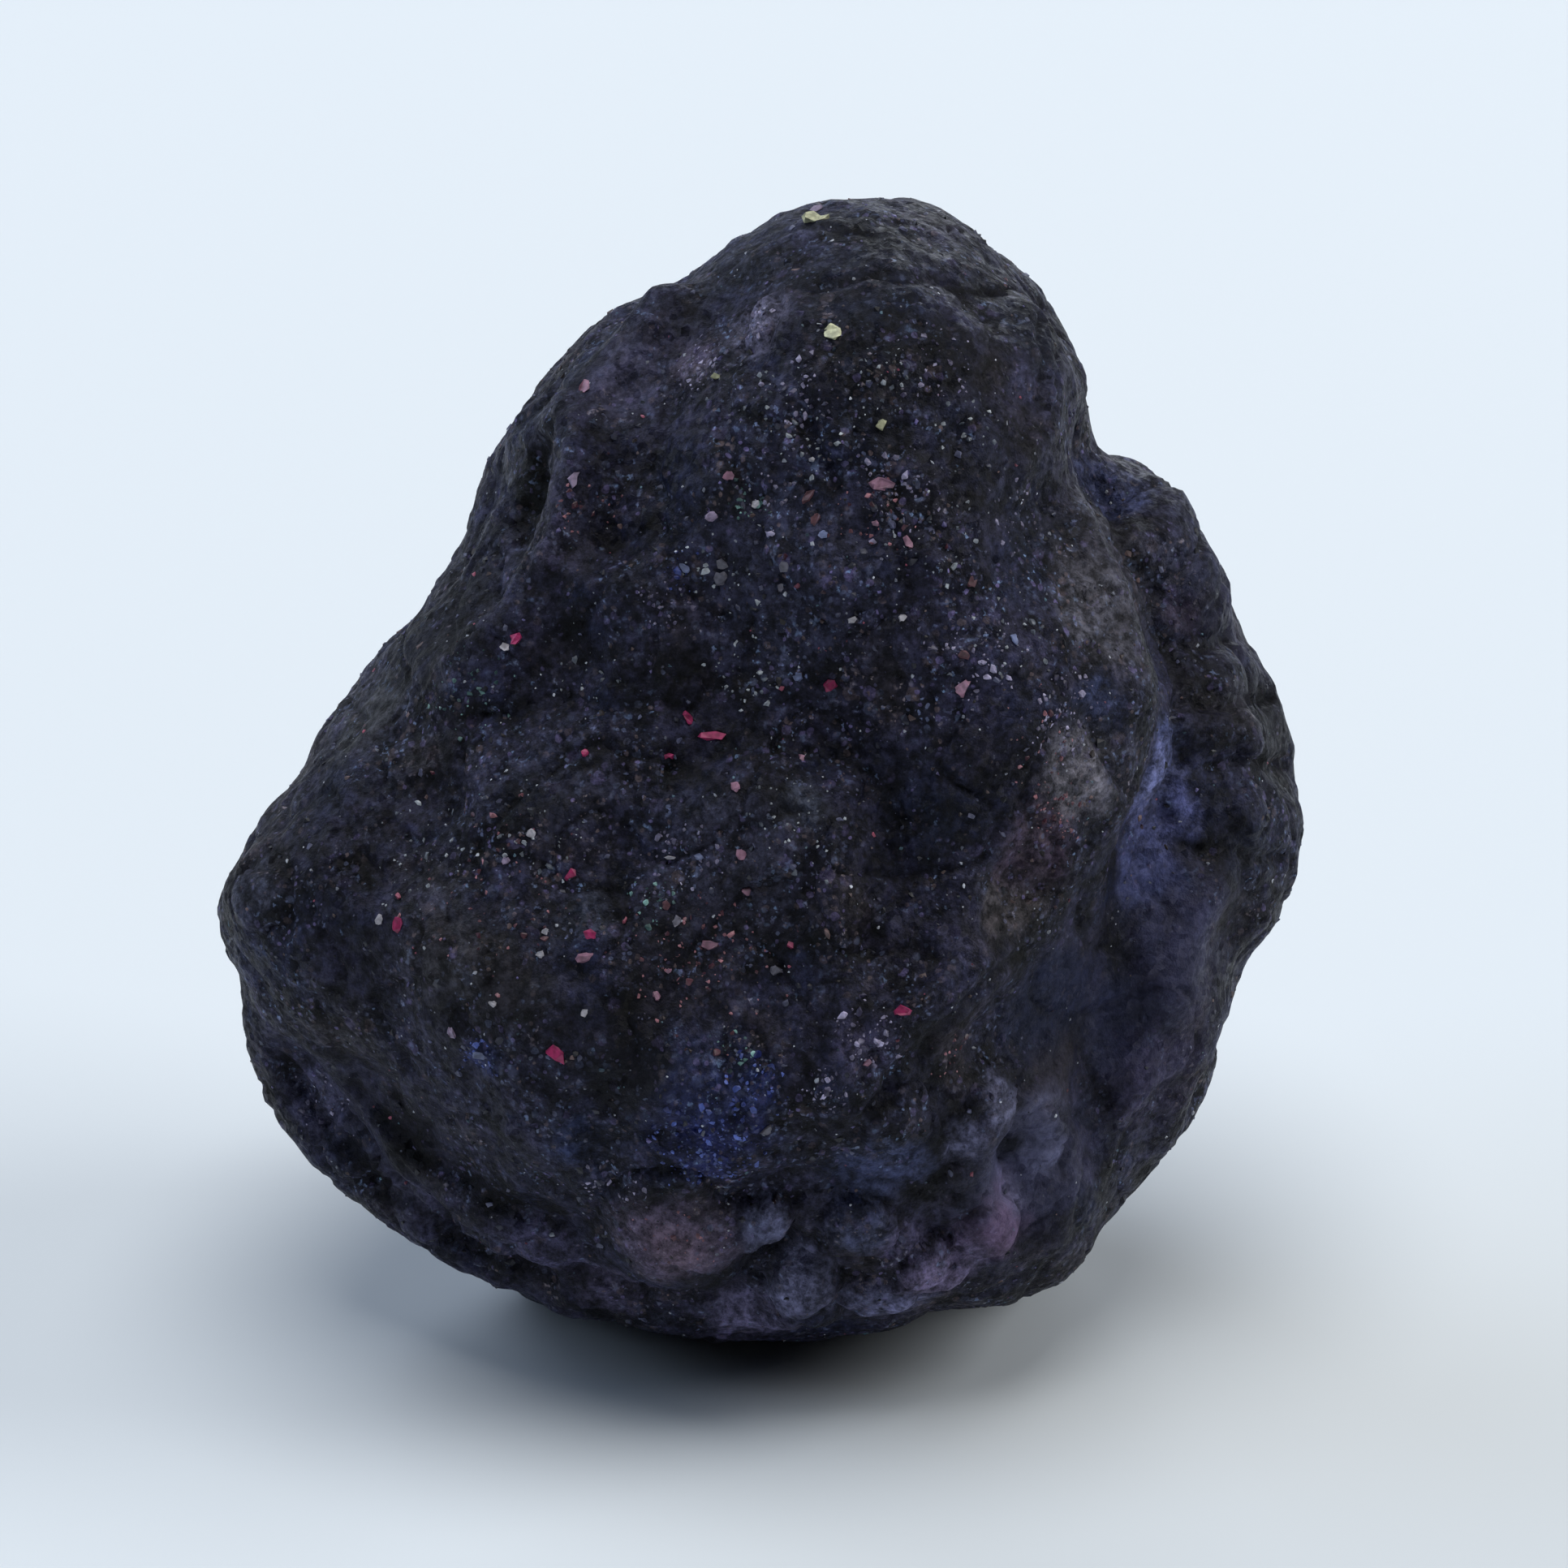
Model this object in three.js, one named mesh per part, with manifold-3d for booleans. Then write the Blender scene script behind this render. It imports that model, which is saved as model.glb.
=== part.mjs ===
// A rough sapphire: one blackish corundum nodule, pitted, lumpy and flat underneath.
// Millimetres, +Z up, with the origin in the middle of the stone's footprint on its resting face.
//
// The stone is drawn in the frame of its broad face: "across" runs right along the face, "up" runs
// up the face and "out" points straight away from it. The face leans back, so this frame is
// turned by LEAN at the end. Every place below is [across, up], or [across, up, out], from the core.
import * as THREE from "three";
import { mergeVertices } from "three/addons/utils/BufferGeometryUtils.js";
import { ImprovedNoise } from "three/addons/math/ImprovedNoise.js";
import Module from "manifold-3d";

const LEAN = THREE.MathUtils.degToRad(25); // how far the broad face leans back from upright
const FRONT_BULGE = 12; // the broad side, in front of the rim
const BACK_BULGE = 15; // the hidden side, behind the rim
const FULLNESS = 2.4; // 2 gives an elliptical section, and more gives a squarer one
const MEAN_RADIUS = 15;
const FARTHEST = 32; // no part of the surface is this far from the core
const RESTING_DEPTH = 16.6; // from the core down to the flat that the stone stands on
const MESH_DETAIL = 19; // 20 * (MESH_DETAIL + 1)^2 triangles
const EVENING_ROUNDS = 6;
const EVENING_SHARE = 0.6; // how far a corner moves in a round, as a share of the whole way
const SAME_PLACE = 1e-4; // corners of the unit sphere closer than this are one corner
const ROUND_EDGE = 1.6; // how widely the edges between facets are rounded

// The rim, seen square on to the broad face, clockwise from the crown. The third number is how
// far the rim lies in front of the core there.
const RIM = [
  [3.3, 18.2, -1],
  [5.8, 17.5, -1],
  [7.9, 16.1, -1],
  [9.4, 14.4, -1],
  [10.3, 12.4, -1],
  [10.1, 11.1, -2], // the notch behind the head
  [10.6, 10.8, -3.5],
  [11.9, 10.8, -5],
  [13.3, 9.5, -5],
  [14.1, 7.6, -5],
  [14.9, 5.7, -5],
  [15.8, 4.3, -5],
  [16.6, 2.4, -5],
  [16.9, 0.2, -5],
  [16.8, -2.0, -4.5],
  [16.2, -4.2, -4],
  [15.1, -5.8, -3.5],
  [14.5, -7.4, -3],
  [14.2, -9.1, -2.5],
  [12.9, -10.4, -2.3],
  [11.4, -12.3, -2.3],
  [9.6, -14.7, -2.4],
  [6.3, -16.0, -2.5],
  [3.0, -16.8, -2.5],
  [-0.5, -16.8, -2.5],
  [-4.5, -16.3, -2.5],
  [-7.5, -15.3, -2.3],
  [-10.4, -14.1, -2],
  [-13.5, -12.2, -1.5],
  [-15.2, -9.8, -1.5],
  [-15.9, -7.4, -1],
  [-16.2, -5.0, -0.5],
  [-16.5, -3.1, 0],
  [-15.7, -1.2, 0],
  [-14.4, 0.5, 0],
  [-13.4, 2.3, -0.5],
  [-11.9, 4.2, -1],
  [-10.5, 6.0, -1.5],
  [-9.2, 7.9, -2],
  [-8.5, 9.9, -2],
  [-7.6, 12.0, -2],
  [-6.0, 14.1, -2],
  [-4.2, 15.6, -2],
  [-2.3, 16.2, -1.5],
  [-0.4, 17.3, -1],
  [1.4, 18.1, -1],
];

// Broken faces. Each one is a plane: the way it faces and its distance from the core.
const FACETS = [
  { name: "broad face", facing: [-0.03, 0.05, 1], reach: 9.6 },
  { name: "right flank", facing: [0.66, -0.3, 0.69], reach: 11.4 },
  { name: "lower front", facing: [-0.05, -0.72, 0.69], reach: 13.7 },
  { name: "lower left", facing: [-0.62, -0.5, 0.6], reach: 14.4 },
  { name: "left flank", facing: [-0.72, 0.5, 0.48], reach: 12.6 },
  { name: "temple", facing: [-0.42, 0.15, 0.9], reach: 10.6 },
  { name: "back", facing: [0.12, 0.15, -1], reach: 11.4 },
  { name: "upper left back", facing: [-0.55, 0.45, -0.7], reach: 12 },
  { name: "upper right back", facing: [0.5, 0.5, -0.7], reach: 15.7 },
  { name: "lower left back", facing: [-0.62, -0.35, -0.7], reach: 14.8 },
  { name: "right back", facing: [0.6, -0.1, -0.79], reach: 15 },
  { name: "crown back", facing: [0.05, 0.86, -0.5], reach: 17.6 },
  { name: "underside", facing: [0, -Math.cos(LEAN), -Math.sin(LEAN)], reach: 17.1 },
];

// Raised and sunken lines on the broad side: a course of places, how high they stand and how
// far they spread. A negative height is a groove.
const LINES = [
  {
    name: "left crest", height: 0.65, spread: 1.1,
    course: [
      [-3.1, 14.7], [-4.4, 13.3], [-5.7, 11.8], [-6, 9.5], [-6.7, 7.2], [-7.8, 5.2], [-9.5, 3.6],
    ],
  },
  {
    name: "pale crest", height: 0.45, spread: 1.0,
    course: [[-2.8, 14.7], [-2.2, 13.8], [-1.4, 12.5]],
  },
  {
    name: "temple hollow", height: -0.85, spread: 1.9,
    course: [[-3.1, 13], [-3.7, 11], [-3.9, 8.8]],
  },
  {
    name: "right crest", height: 0.55, spread: 1.5,
    course: [[9.7, 8.5], [10.6, 5.5], [11, 2.5], [10.4, -0.2], [8.4, -2.8], [6.2, -5]],
  },
  { name: "lower crest", height: 0.7, spread: 0.9, course: [[6.2, -5], [4.2, -6.8], [2.2, -8.8]] },
  {
    name: "valley behind the crest", height: -1.35, spread: 2.0,
    course: [[10.8, 9.4], [11.3, 8], [12.4, 6], [13.2, 3.8], [13.1, 1.5], [12.5, -1]],
  },
  {
    name: "waist", height: -0.8, spread: 2.4,
    course: [[-10, 1.8], [-6, 2.6], [-2.2, 2.3], [0.6, 2.6], [3.4, 2.2]],
  },
  {
    name: "arch", height: 0.55, spread: 0.9,
    course: [[-1.5, 0], [0.5, 0.8], [2.2, -0.1], [2.8, -2.2], [2, -4.2]],
  },
  {
    name: "groove round the arch", height: -0.55, spread: 1.1,
    course: [[1.6, 1.8], [3.6, 0.2], [4.2, -2.3], [3.4, -4.6]],
  },
  { name: "left swell", height: 0.6, spread: 1.9, course: [[-9.6, -4.3], [-6.4, -5.1]] },
  {
    name: "lip groove", height: -0.85, spread: 0.9,
    course: [[-14.7, -8.3], [-13.4, -10.4], [-11.6, -12.1], [-9.4, -13.6], [-6.6, -14.9]],
  },
  {
    name: "second groove", height: -0.6, spread: 1.0,
    course: [[-12.3, -9], [-10.6, -10.9], [-8.4, -12.3], [-5.8, -13.4]],
  },
  {
    name: "foot groove", height: -0.7, spread: 0.9,
    course: [[-5.6, -14.6], [-2.8, -15.3], [0.1, -15], [0.4, -13.8]],
  },
  {
    name: "ring", height: 0.75, spread: 1.0,
    course: [[6.5, -9.2], [8.2, -9], [8.9, -11.2], [8.6, -13.4], [7, -13.4], [6.4, -11.2], [6.5, -9.2]],
  },
  { name: "first flank rib", height: 0.7, spread: 1.2, course: [[13.6, -3.2], [12.6, -5.5]] },
  { name: "second flank rib", height: 0.65, spread: 1.1, course: [[12.2, -6.2], [11.2, -8.8]] },
  { name: "third flank rib", height: 0.6, spread: 1.1, course: [[13.4, -6.8], [12.6, -9.8]] },
  { name: "flank fold", height: -0.7, spread: 1.1, course: [[11.5, -3.2], [10.6, -6.5], [10, -9]] },
  { name: "upper shoulder groove", height: -0.75, spread: 1.0, course: [[13, 4.6], [15.3, 4.9]] },
  { name: "middle shoulder groove", height: -0.7, spread: 0.9, course: [[13.8, 2.9], [16, 3.2]] },
  { name: "lower shoulder groove", height: -0.65, spread: 1.0, course: [[13.9, 0.9], [16.6, 1]] },
  { name: "brow", height: 0.35, spread: 1.1, course: [[0.2, 16.2], [2.9, 17.1], [5, 17.2]] },
  { name: "cheek", height: 0.4, spread: 1.5, course: [[7.9, 14.6], [8.4, 12.4], [8.2, 10.6]] },
];

// Round lumps and hollows on the broad side: place, radius and height.
const LUMPS = [
  { name: "head", at: [4.2, 13.6], radius: 4.6, height: 0.9 },
  { name: "middle swell", at: [4.5, 6], radius: 5, height: 0.6 },
  { name: "eye lump", at: [0.7, -2], radius: 2.4, height: 0.7 },
  { name: "black pit", at: [-7, 9.3], radius: 1.8, height: -1.2 },
  { name: "head hollow", at: [5.8, 14.7], radius: 1.9, height: -0.75 },
  { name: "nape hollow", at: [7.6, 11.6], radius: 1.6, height: -0.5 },
  { name: "left hollow", at: [-10.5, -1.5], radius: 2.6, height: -0.6 },
  { name: "belly hollow", at: [-1, -6.6], radius: 2.4, height: -0.7 },
  { name: "low hollow", at: [-4.6, -9.1], radius: 2.4, height: -0.6 },
  { name: "toe", at: [-15, -3.4], radius: 2.6, height: 0.3 },
  { name: "toe hollow", at: [-12.4, 1.4], radius: 2.2, height: -0.4 },
  { name: "pink knob", at: [-2.4, -13.2], radius: 2.3, height: 0.9 },
  { name: "small knob", at: [0.1, -12.9], radius: 1.4, height: 0.75 },
  { name: "middle knob", at: [2.5, -13.2], radius: 1.6, height: 0.7 },
  { name: "foot knob", at: [1.5, -15.4], radius: 1.6, height: 0.9 },
  { name: "right knob", at: [4.4, -14.6], radius: 1.7, height: 0.75 },
  { name: "ring pit", at: [7.5, -10.8], radius: 1.3, height: -0.8 },
  { name: "flank hollow", at: [12.1, -1.6], radius: 2.2, height: -0.5 },
  { name: "blue swell", at: [-1.6, -10.2], radius: 2.4, height: 0.35 },
];

// The same for the side that the face hides.
const BACK_LINES = [
  {
    name: "back cleft", height: -1.1, spread: 2.0,
    course: [[6.5, 12.4], [4.3, 8.6], [3.6, 4.4], [0.4, 1.2], [-4.2, -0.6]],
  },
  {
    name: "back crest", height: 0.8, spread: 1.8,
    course: [[-7.4, 9.4], [-5.2, 4.6], [-6.4, -2], [-3.6, -7]],
  },
  {
    name: "low back groove", height: -0.7, spread: 1.5,
    course: [[-12, -7], [-6, -8.6], [1, -7.2], [7, -8.8]],
  },
  {
    name: "side groove", height: -0.6, spread: 1.3,
    course: [[13.4, 6.5], [12.6, 1.4], [13, -3.6]],
  },
];
const BACK_LUMPS = [
  { name: "back knob", at: [6.5, 3], radius: 3.6, height: 0.9 },
  { name: "upper back hollow", at: [-2.6, 11], radius: 2.8, height: -0.8 },
  { name: "back hollow", at: [8, -4.5], radius: 2.8, height: -0.8 },
  { name: "left back knob", at: [-10.6, -3], radius: 2.8, height: 0.7 },
  { name: "low back knob", at: [2.4, -11], radius: 2.4, height: 0.5 },
];

// A stroke fades out to nothing at this many times its spread or radius.
const LINE_EDGE = 1.5;
const LUMP_EDGE = 1.3;

// Grain of the surface: the size of its swells, how high they stand, and how much of that is
// sharp ridges rather than round lumps.
const SWELLS = [
  { size: 6.5, height: 0.65, ridged: 0 },
  { size: 3.1, height: 0.5, ridged: 0.7 },
  { size: 1.6, height: 0.26, ridged: 0.6 },
];
const RIDGE = { crest: 0.45, slope: 1.6 };
const PITS = { count: 90, smallest: 0.9, largest: 1.7, depth: 0.36 };
const CHIPS = { count: 80, radius: 4.2, shallowest: 0, deepest: 0.35, tilt: 0.12 }; // flat breaks
const DEEPEST_RELIEF = 1.5; // no stroke, pit or swell goes further in or out than this

const noise = new ImprovedNoise();
const lerp = THREE.MathUtils.lerp;

// Every angle round the core has one reach and one depth of the rim, read from the closed curve.
function rimTable() {
  const steps = 1440;
  const curve = new THREE.CatmullRomCurve3(
    RIM.map((p) => new THREE.Vector3(...p)),
    true,
    "centripetal",
  );
  const samples = curve.getPoints(steps * 3).map((p) => ({
    angle: Math.atan2(p.y, p.x),
    reach: Math.hypot(p.x, p.y),
    depth: p.z,
  }));
  samples.sort((a, b) => a.angle - b.angle);
  const table = [];
  let next = 0;
  for (let i = 0; i <= steps; i++) {
    const angle = -Math.PI + (2 * Math.PI * i) / steps;
    while (next < samples.length - 1 && samples[next].angle < angle) next++;
    table.push(samples[next]);
  }
  return (angle) => {
    const place = ((angle + Math.PI) / (2 * Math.PI)) * steps;
    const low = Math.min(Math.floor(place), steps - 1);
    const share = place - low;
    return {
      reach: lerp(table[low].reach, table[low + 1].reach, share),
      depth: lerp(table[low].depth, table[low + 1].depth, share),
    };
  };
}
const rimAt = rimTable();

// Roughly how far a point lies outside the domed nodule, before any face is broken off.
function outsideDome(p) {
  const rim = rimAt(Math.atan2(p.y, p.x));
  const share = Math.hypot(p.x, p.y) / rim.reach;
  const out = p.z - rim.depth * Math.min(share * share, 1);
  const bulge = out > 0 ? FRONT_BULGE : BACK_BULGE;
  const size = share ** FULLNESS + Math.abs(out / bulge) ** FULLNESS;
  return (size ** (1 / FULLNESS) - 1) * MEAN_RADIUS;
}

const facets = FACETS.map(({ facing, reach }) => ({
  normal: new THREE.Vector3(...facing).normalize(),
  reach,
}));

// The larger of two distances, with a rounded change from one to the other.
function roundedMax(a, b, width) {
  const near = Math.max(width - Math.abs(a - b), 0) / width;
  return Math.max(a, b) + (near * near * width) / 4;
}

function outside(p) {
  return facets.reduce(
    (far, f) => roundedMax(far, f.normal.dot(p) - f.reach, ROUND_EDGE),
    outsideDome(p),
  );
}

// The place where a line from start crosses the surface.
function crossing(start, direction) {
  let low = 0;
  let high = FARTHEST;
  const p = new THREE.Vector3();
  for (let i = 0; i < 26; i++) {
    const middle = (low + high) / 2;
    p.copy(start).addScaledVector(direction, middle);
    if (outside(p) < 0) low = middle;
    else high = middle;
  }
  return p.copy(start).addScaledVector(direction, low);
}

function normalAt(p) {
  const step = 0.15;
  const slope = (axis) => {
    const q = p.clone().addScaledVector(axis, step);
    const r = p.clone().addScaledVector(axis, -step);
    return outside(q) - outside(r);
  };
  return new THREE.Vector3(
    slope(new THREE.Vector3(1, 0, 0)),
    slope(new THREE.Vector3(0, 1, 0)),
    slope(new THREE.Vector3(0, 0, 1)),
  ).normalize();
}

// A place on the broad side (side 1) or on the hidden side (side -1).
function placeOn([across, up], side) {
  const rim = rimAt(Math.atan2(up, across));
  const share = Math.min(Math.hypot(across, up) / rim.reach, 1);
  const start = new THREE.Vector3(across, up, rim.depth * share * share);
  return crossing(start, new THREE.Vector3(0, 0, side));
}

// 1 at the middle of a feature, falling smoothly to 0 at its edge.
function falloff(distance, edge) {
  const t = Math.min(distance / edge, 1);
  return (1 - t * t) ** 2;
}

function lineStroke({ course, height, spread }, side) {
  const ends = course.map((place) => placeOn(place, side));
  const nearest = new THREE.Vector3();
  return (p) => {
    let distance = Infinity;
    for (let i = 1; i < ends.length; i++) {
      new THREE.Line3(ends[i - 1], ends[i]).closestPointToPoint(p, true, nearest);
      distance = Math.min(distance, nearest.distanceTo(p));
    }
    return height * falloff(distance, spread * LINE_EDGE);
  };
}

function lumpStroke({ at, radius, height }, side) {
  const centre = placeOn(at, side);
  return (p) => height * falloff(centre.distanceTo(p), radius * LUMP_EDGE);
}

// Directions spread evenly all round by a golden-angle spiral, each one strayed a little.
function spiral(count) {
  const turn = Math.PI * (3 - Math.sqrt(5));
  return Array.from({ length: count }, (_, i) => {
    const height = 1 - (2 * (i + 0.5)) / count;
    const ring = Math.sqrt(1 - height * height);
    const angle = turn * i + 0.3 * noise.noise(i * 1.7, count * 0.9, 4.2);
    return new THREE.Vector3(ring * Math.cos(angle), ring * Math.sin(angle), height);
  });
}

function pitStrokes({ count, smallest, largest, depth }) {
  return spiral(count).map((way, i) => {
    const centre = crossing(new THREE.Vector3(), way);
    const size = 0.5 + noise.noise(i * 0.77, 3.1, i * 0.41);
    const radius = lerp(smallest, largest, THREE.MathUtils.clamp(size, 0, 1));
    return (p) => -depth * falloff(centre.distanceTo(p), radius);
  });
}

// A chip is a small plane that takes off whatever stands outside it nearby.
function chipStrokes({ count, radius, shallowest, deepest, tilt }) {
  return spiral(count).map((way, i) => {
    const centre = crossing(new THREE.Vector3(), way);
    const lean = new THREE.Vector3(
      noise.noise(i * 0.83, 7.3, 1.9),
      noise.noise(i * 0.83, 2.6, 8.4),
      noise.noise(i * 0.83, 5.5, 3.7),
    );
    const normal = normalAt(centre).addScaledVector(lean, tilt * 2).normalize();
    const share = THREE.MathUtils.clamp(0.5 + noise.noise(9.1, i * 0.67, 4.4), 0, 1);
    const reach = normal.dot(centre) - lerp(shallowest, deepest, share);
    return (p) => Math.max(normal.dot(p) - reach, 0) * falloff(centre.distanceTo(p), radius);
  });
}

const strokes = [
  ...LINES.map((line) => lineStroke(line, 1)),
  ...LUMPS.map((lump) => lumpStroke(lump, 1)),
  ...BACK_LINES.map((line) => lineStroke(line, -1)),
  ...BACK_LUMPS.map((lump) => lumpStroke(lump, -1)),
  ...pitStrokes(PITS),
];
const chips = chipStrokes(CHIPS);

function swellAt(p, { size, height, ridged }) {
  const round = noise.noise(p.x / size, p.y / size, p.z / size + size);
  return height * lerp(round, RIDGE.crest - RIDGE.slope * Math.abs(round), ridged);
}

// How far the surface stands out from the plain faceted nodule at a place on it.
function reliefAt(p) {
  const chipped = chips.reduce((most, chip) => Math.max(most, chip(p)), 0);
  const grain = SWELLS.reduce((sum, swell) => sum + swellAt(p, swell), 0);
  const drawn = strokes.reduce((sum, stroke) => sum + stroke(p), grain);
  return DEEPEST_RELIEF * Math.tanh((drawn - chipped) / DEEPEST_RELIEF);
}

// A sphere of triangles is drawn out to the surface. In each round every corner moves towards the
// middle of its neighbours, so that the triangles come out about the same size.
function evenDirections(sphere) {
  const { index, attributes } = sphere;
  const count = attributes.position.count;
  const ways = Array.from({ length: count }, (_, i) =>
    new THREE.Vector3().fromBufferAttribute(attributes.position, i).normalize(),
  );
  const neighbours = Array.from({ length: count }, () => new Set());
  for (let i = 0; i < index.count; i += 3) {
    const [a, b, c] = [index.getX(i), index.getX(i + 1), index.getX(i + 2)];
    neighbours[a].add(b).add(c);
    neighbours[b].add(a).add(c);
    neighbours[c].add(a).add(b);
  }
  const core = new THREE.Vector3();
  for (let round = 0; round < EVENING_ROUNDS; round++) {
    const places = ways.map((way) => crossing(core, way));
    ways.forEach((way, i) => {
      const middle = new THREE.Vector3();
      neighbours[i].forEach((j) => middle.add(places[j]));
      middle.divideScalar(neighbours[i].size);
      way.copy(places[i]).lerp(middle, EVENING_SHARE).normalize();
    });
  }
  return ways;
}

function noduleGeometry() {
  const sphere = new THREE.IcosahedronGeometry(1, MESH_DETAIL);
  sphere.deleteAttribute("normal");
  sphere.deleteAttribute("uv");
  const geometry = mergeVertices(sphere, SAME_PLACE);
  const core = new THREE.Vector3();
  evenDirections(geometry).forEach((way, i) => {
    const p = crossing(core, way);
    p.addScaledVector(normalAt(p), reliefAt(p));
    geometry.attributes.position.setXYZ(i, p.x, p.y, p.z);
  });
  return geometry;
}

// Turns the frame of the broad face upright: across is +X, and out points to -Y and up.
function leanBack(geometry) {
  return geometry.applyMatrix4(new THREE.Matrix4().makeRotationX(Math.PI / 2 - LEAN));
}

const wasm = await Module();
wasm.setup();

function toSolid(geometry) {
  return new wasm.Manifold(
    new wasm.Mesh({
      numProp: 3,
      vertProperties: new Float32Array(geometry.attributes.position.array),
      triVerts: new Uint32Array(geometry.index.array),
    }),
  );
}

function toGeometry(solid) {
  const { vertProperties, triVerts } = solid.getMesh();
  return new THREE.BufferGeometry()
    .setAttribute("position", new THREE.BufferAttribute(vertProperties, 3))
    .setIndex(new THREE.BufferAttribute(triVerts, 1));
}

// Everything below the resting plane is cut away, which leaves the flat that the stone stands on.
function cutFlat(geometry) {
  const side = 4 * FARTHEST;
  const keep = new THREE.BoxGeometry(side, side, side);
  keep.deleteAttribute("normal");
  keep.deleteAttribute("uv");
  keep.translate(0, 0, side / 2 - RESTING_DEPTH);
  return toGeometry(toSolid(geometry).intersect(toSolid(mergeVertices(keep))));
}

function centreOnFootprint(geometry) {
  geometry.computeBoundingBox();
  const { min, max } = geometry.boundingBox;
  return geometry.translate(-(min.x + max.x) / 2, -(min.y + max.y) / 2, -min.z);
}

function sapphireNodule() {
  const material = new THREE.MeshStandardMaterial({
    color: 0x1c1e2b,
    roughness: 0.55,
    metalness: 0,
  });
  const geometry = centreOnFootprint(cutFlat(leanBack(noduleGeometry())));
  const nodule = new THREE.Mesh(geometry, material);
  nodule.name = "sapphire_nodule";
  return nodule;
}

const stone = new THREE.Group();
stone.add(sapphireNodule());

export default stone;
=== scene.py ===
# A rough sapphire: a blackish corundum nodule, crusted with dark grains, coloured chips and glints.
import math
from random import Random

import bmesh
import bpy
from mathutils import Euler, Matrix, Vector, noise
from mathutils.bvhtree import BVHTree
from mathutils.kdtree import KDTree


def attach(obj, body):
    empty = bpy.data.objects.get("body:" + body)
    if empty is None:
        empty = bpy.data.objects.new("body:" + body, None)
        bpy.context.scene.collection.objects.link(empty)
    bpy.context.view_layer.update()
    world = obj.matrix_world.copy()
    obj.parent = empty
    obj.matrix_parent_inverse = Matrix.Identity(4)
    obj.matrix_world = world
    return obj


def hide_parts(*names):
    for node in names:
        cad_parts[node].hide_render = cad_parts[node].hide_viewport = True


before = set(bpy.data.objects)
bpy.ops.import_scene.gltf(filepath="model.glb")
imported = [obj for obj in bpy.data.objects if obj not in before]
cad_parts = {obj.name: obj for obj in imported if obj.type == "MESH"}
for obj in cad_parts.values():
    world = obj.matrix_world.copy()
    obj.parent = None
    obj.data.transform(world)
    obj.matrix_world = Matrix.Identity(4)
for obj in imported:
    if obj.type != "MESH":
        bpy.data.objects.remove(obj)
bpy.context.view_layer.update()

MM = 0.001
SEED = 7

# The broad face leans back. Places on the stone are given as [across, up] in millimetres from
# the core, seen square on to that face, and land on the surface behind them.
LEAN = math.radians(25)
CORE = Vector((-0.13, -0.56, 16.6)) * MM
ACROSS = Vector((1, 0, 0))
UP = Vector((0, math.sin(LEAN), math.cos(LEAN)))
OUT = Vector((0, -math.cos(LEAN), math.sin(LEAN)))

CAMERA_DISTANCE = 200 * MM
CAMERA_AIM = (0.65, 0.35)
PICTURE_WIDTH = 48.3 * MM  # what the picture spans at the core
SENSOR_WIDTH = 36

# ---------------------------------------------------------------- camera, floor and light


def sight_plane(across, up):
    """A place on the plane through the core that faces the camera."""
    return CORE + (ACROSS * across + UP * up) * MM


CAMERA_PLACE = sight_plane(*CAMERA_AIM) + OUT * CAMERA_DISTANCE


def link(thing):
    bpy.context.scene.collection.objects.link(thing)
    return thing


def make_camera():
    lens = bpy.data.cameras.new("camera")
    lens.sensor_width = SENSOR_WIDTH
    lens.lens = SENSOR_WIDTH * CAMERA_DISTANCE / PICTURE_WIDTH
    lens.clip_start = 0.01
    lens.clip_end = 20
    camera = link(bpy.data.objects.new("camera", lens))
    turn = Matrix((ACROSS, UP, OUT)).transposed()
    camera.matrix_world = Matrix.Translation(CAMERA_PLACE) @ turn.to_4x4()
    bpy.context.scene.camera = camera


SOFT_LIGHTS = [
    # name, place, width, power in watts, colour
    ("overhead softbox", (0, 0, 1.5), 1.2, 12.6, (0.98, 0.99, 0.99)),
    ("right window", (1.3, 0.1, 0.8), 0.9, 11.6, (0.96, 0.985, 1.0)),
    ("left bounce", (-1.3, 0.1, 0.8), 0.9, 4.2, (0.74, 0.92, 1.2)),
    ("rear left window", (-0.9, 0.9, 0.9), 1.0, 6.4, (0.83, 0.94, 1.1)),
    ("low rear light", (0.3, 1.4, 0.45), 0.8, 5.4, (0.88, 0.95, 1.05)),
]
STONE_MIDDLE = Vector((0, 0, 16)) * MM


def make_lights():
    for name, place, width, power, colour in SOFT_LIGHTS:
        lamp = bpy.data.lights.new(name, "AREA")
        lamp.shape = "DISK"
        lamp.size = width
        lamp.energy = power
        lamp.color = colour
        light = link(bpy.data.objects.new(name, lamp))
        light.location = place
        light.rotation_euler = (STONE_MIDDLE - Vector(place)).to_track_quat("-Z", "Y").to_euler()


SKY = (0.80, 0.90, 1.0, 1)
SKY_STRENGTH = 0.01


def make_sky():
    world = bpy.data.worlds.new("soft room")
    world.use_nodes = True
    background = world.node_tree.nodes["Background"]
    background.inputs["Color"].default_value = SKY
    background.inputs["Strength"].default_value = SKY_STRENGTH
    bpy.context.scene.world = world
    bpy.context.scene.view_settings.view_transform = "Standard"


FLOOR_SIZE = 4
FLOOR_COLOUR = (0.80, 0.84, 0.87, 1)
FLOOR_ROUGHNESS = 0.9
FLOOR_SHINE = 0.1


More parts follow.
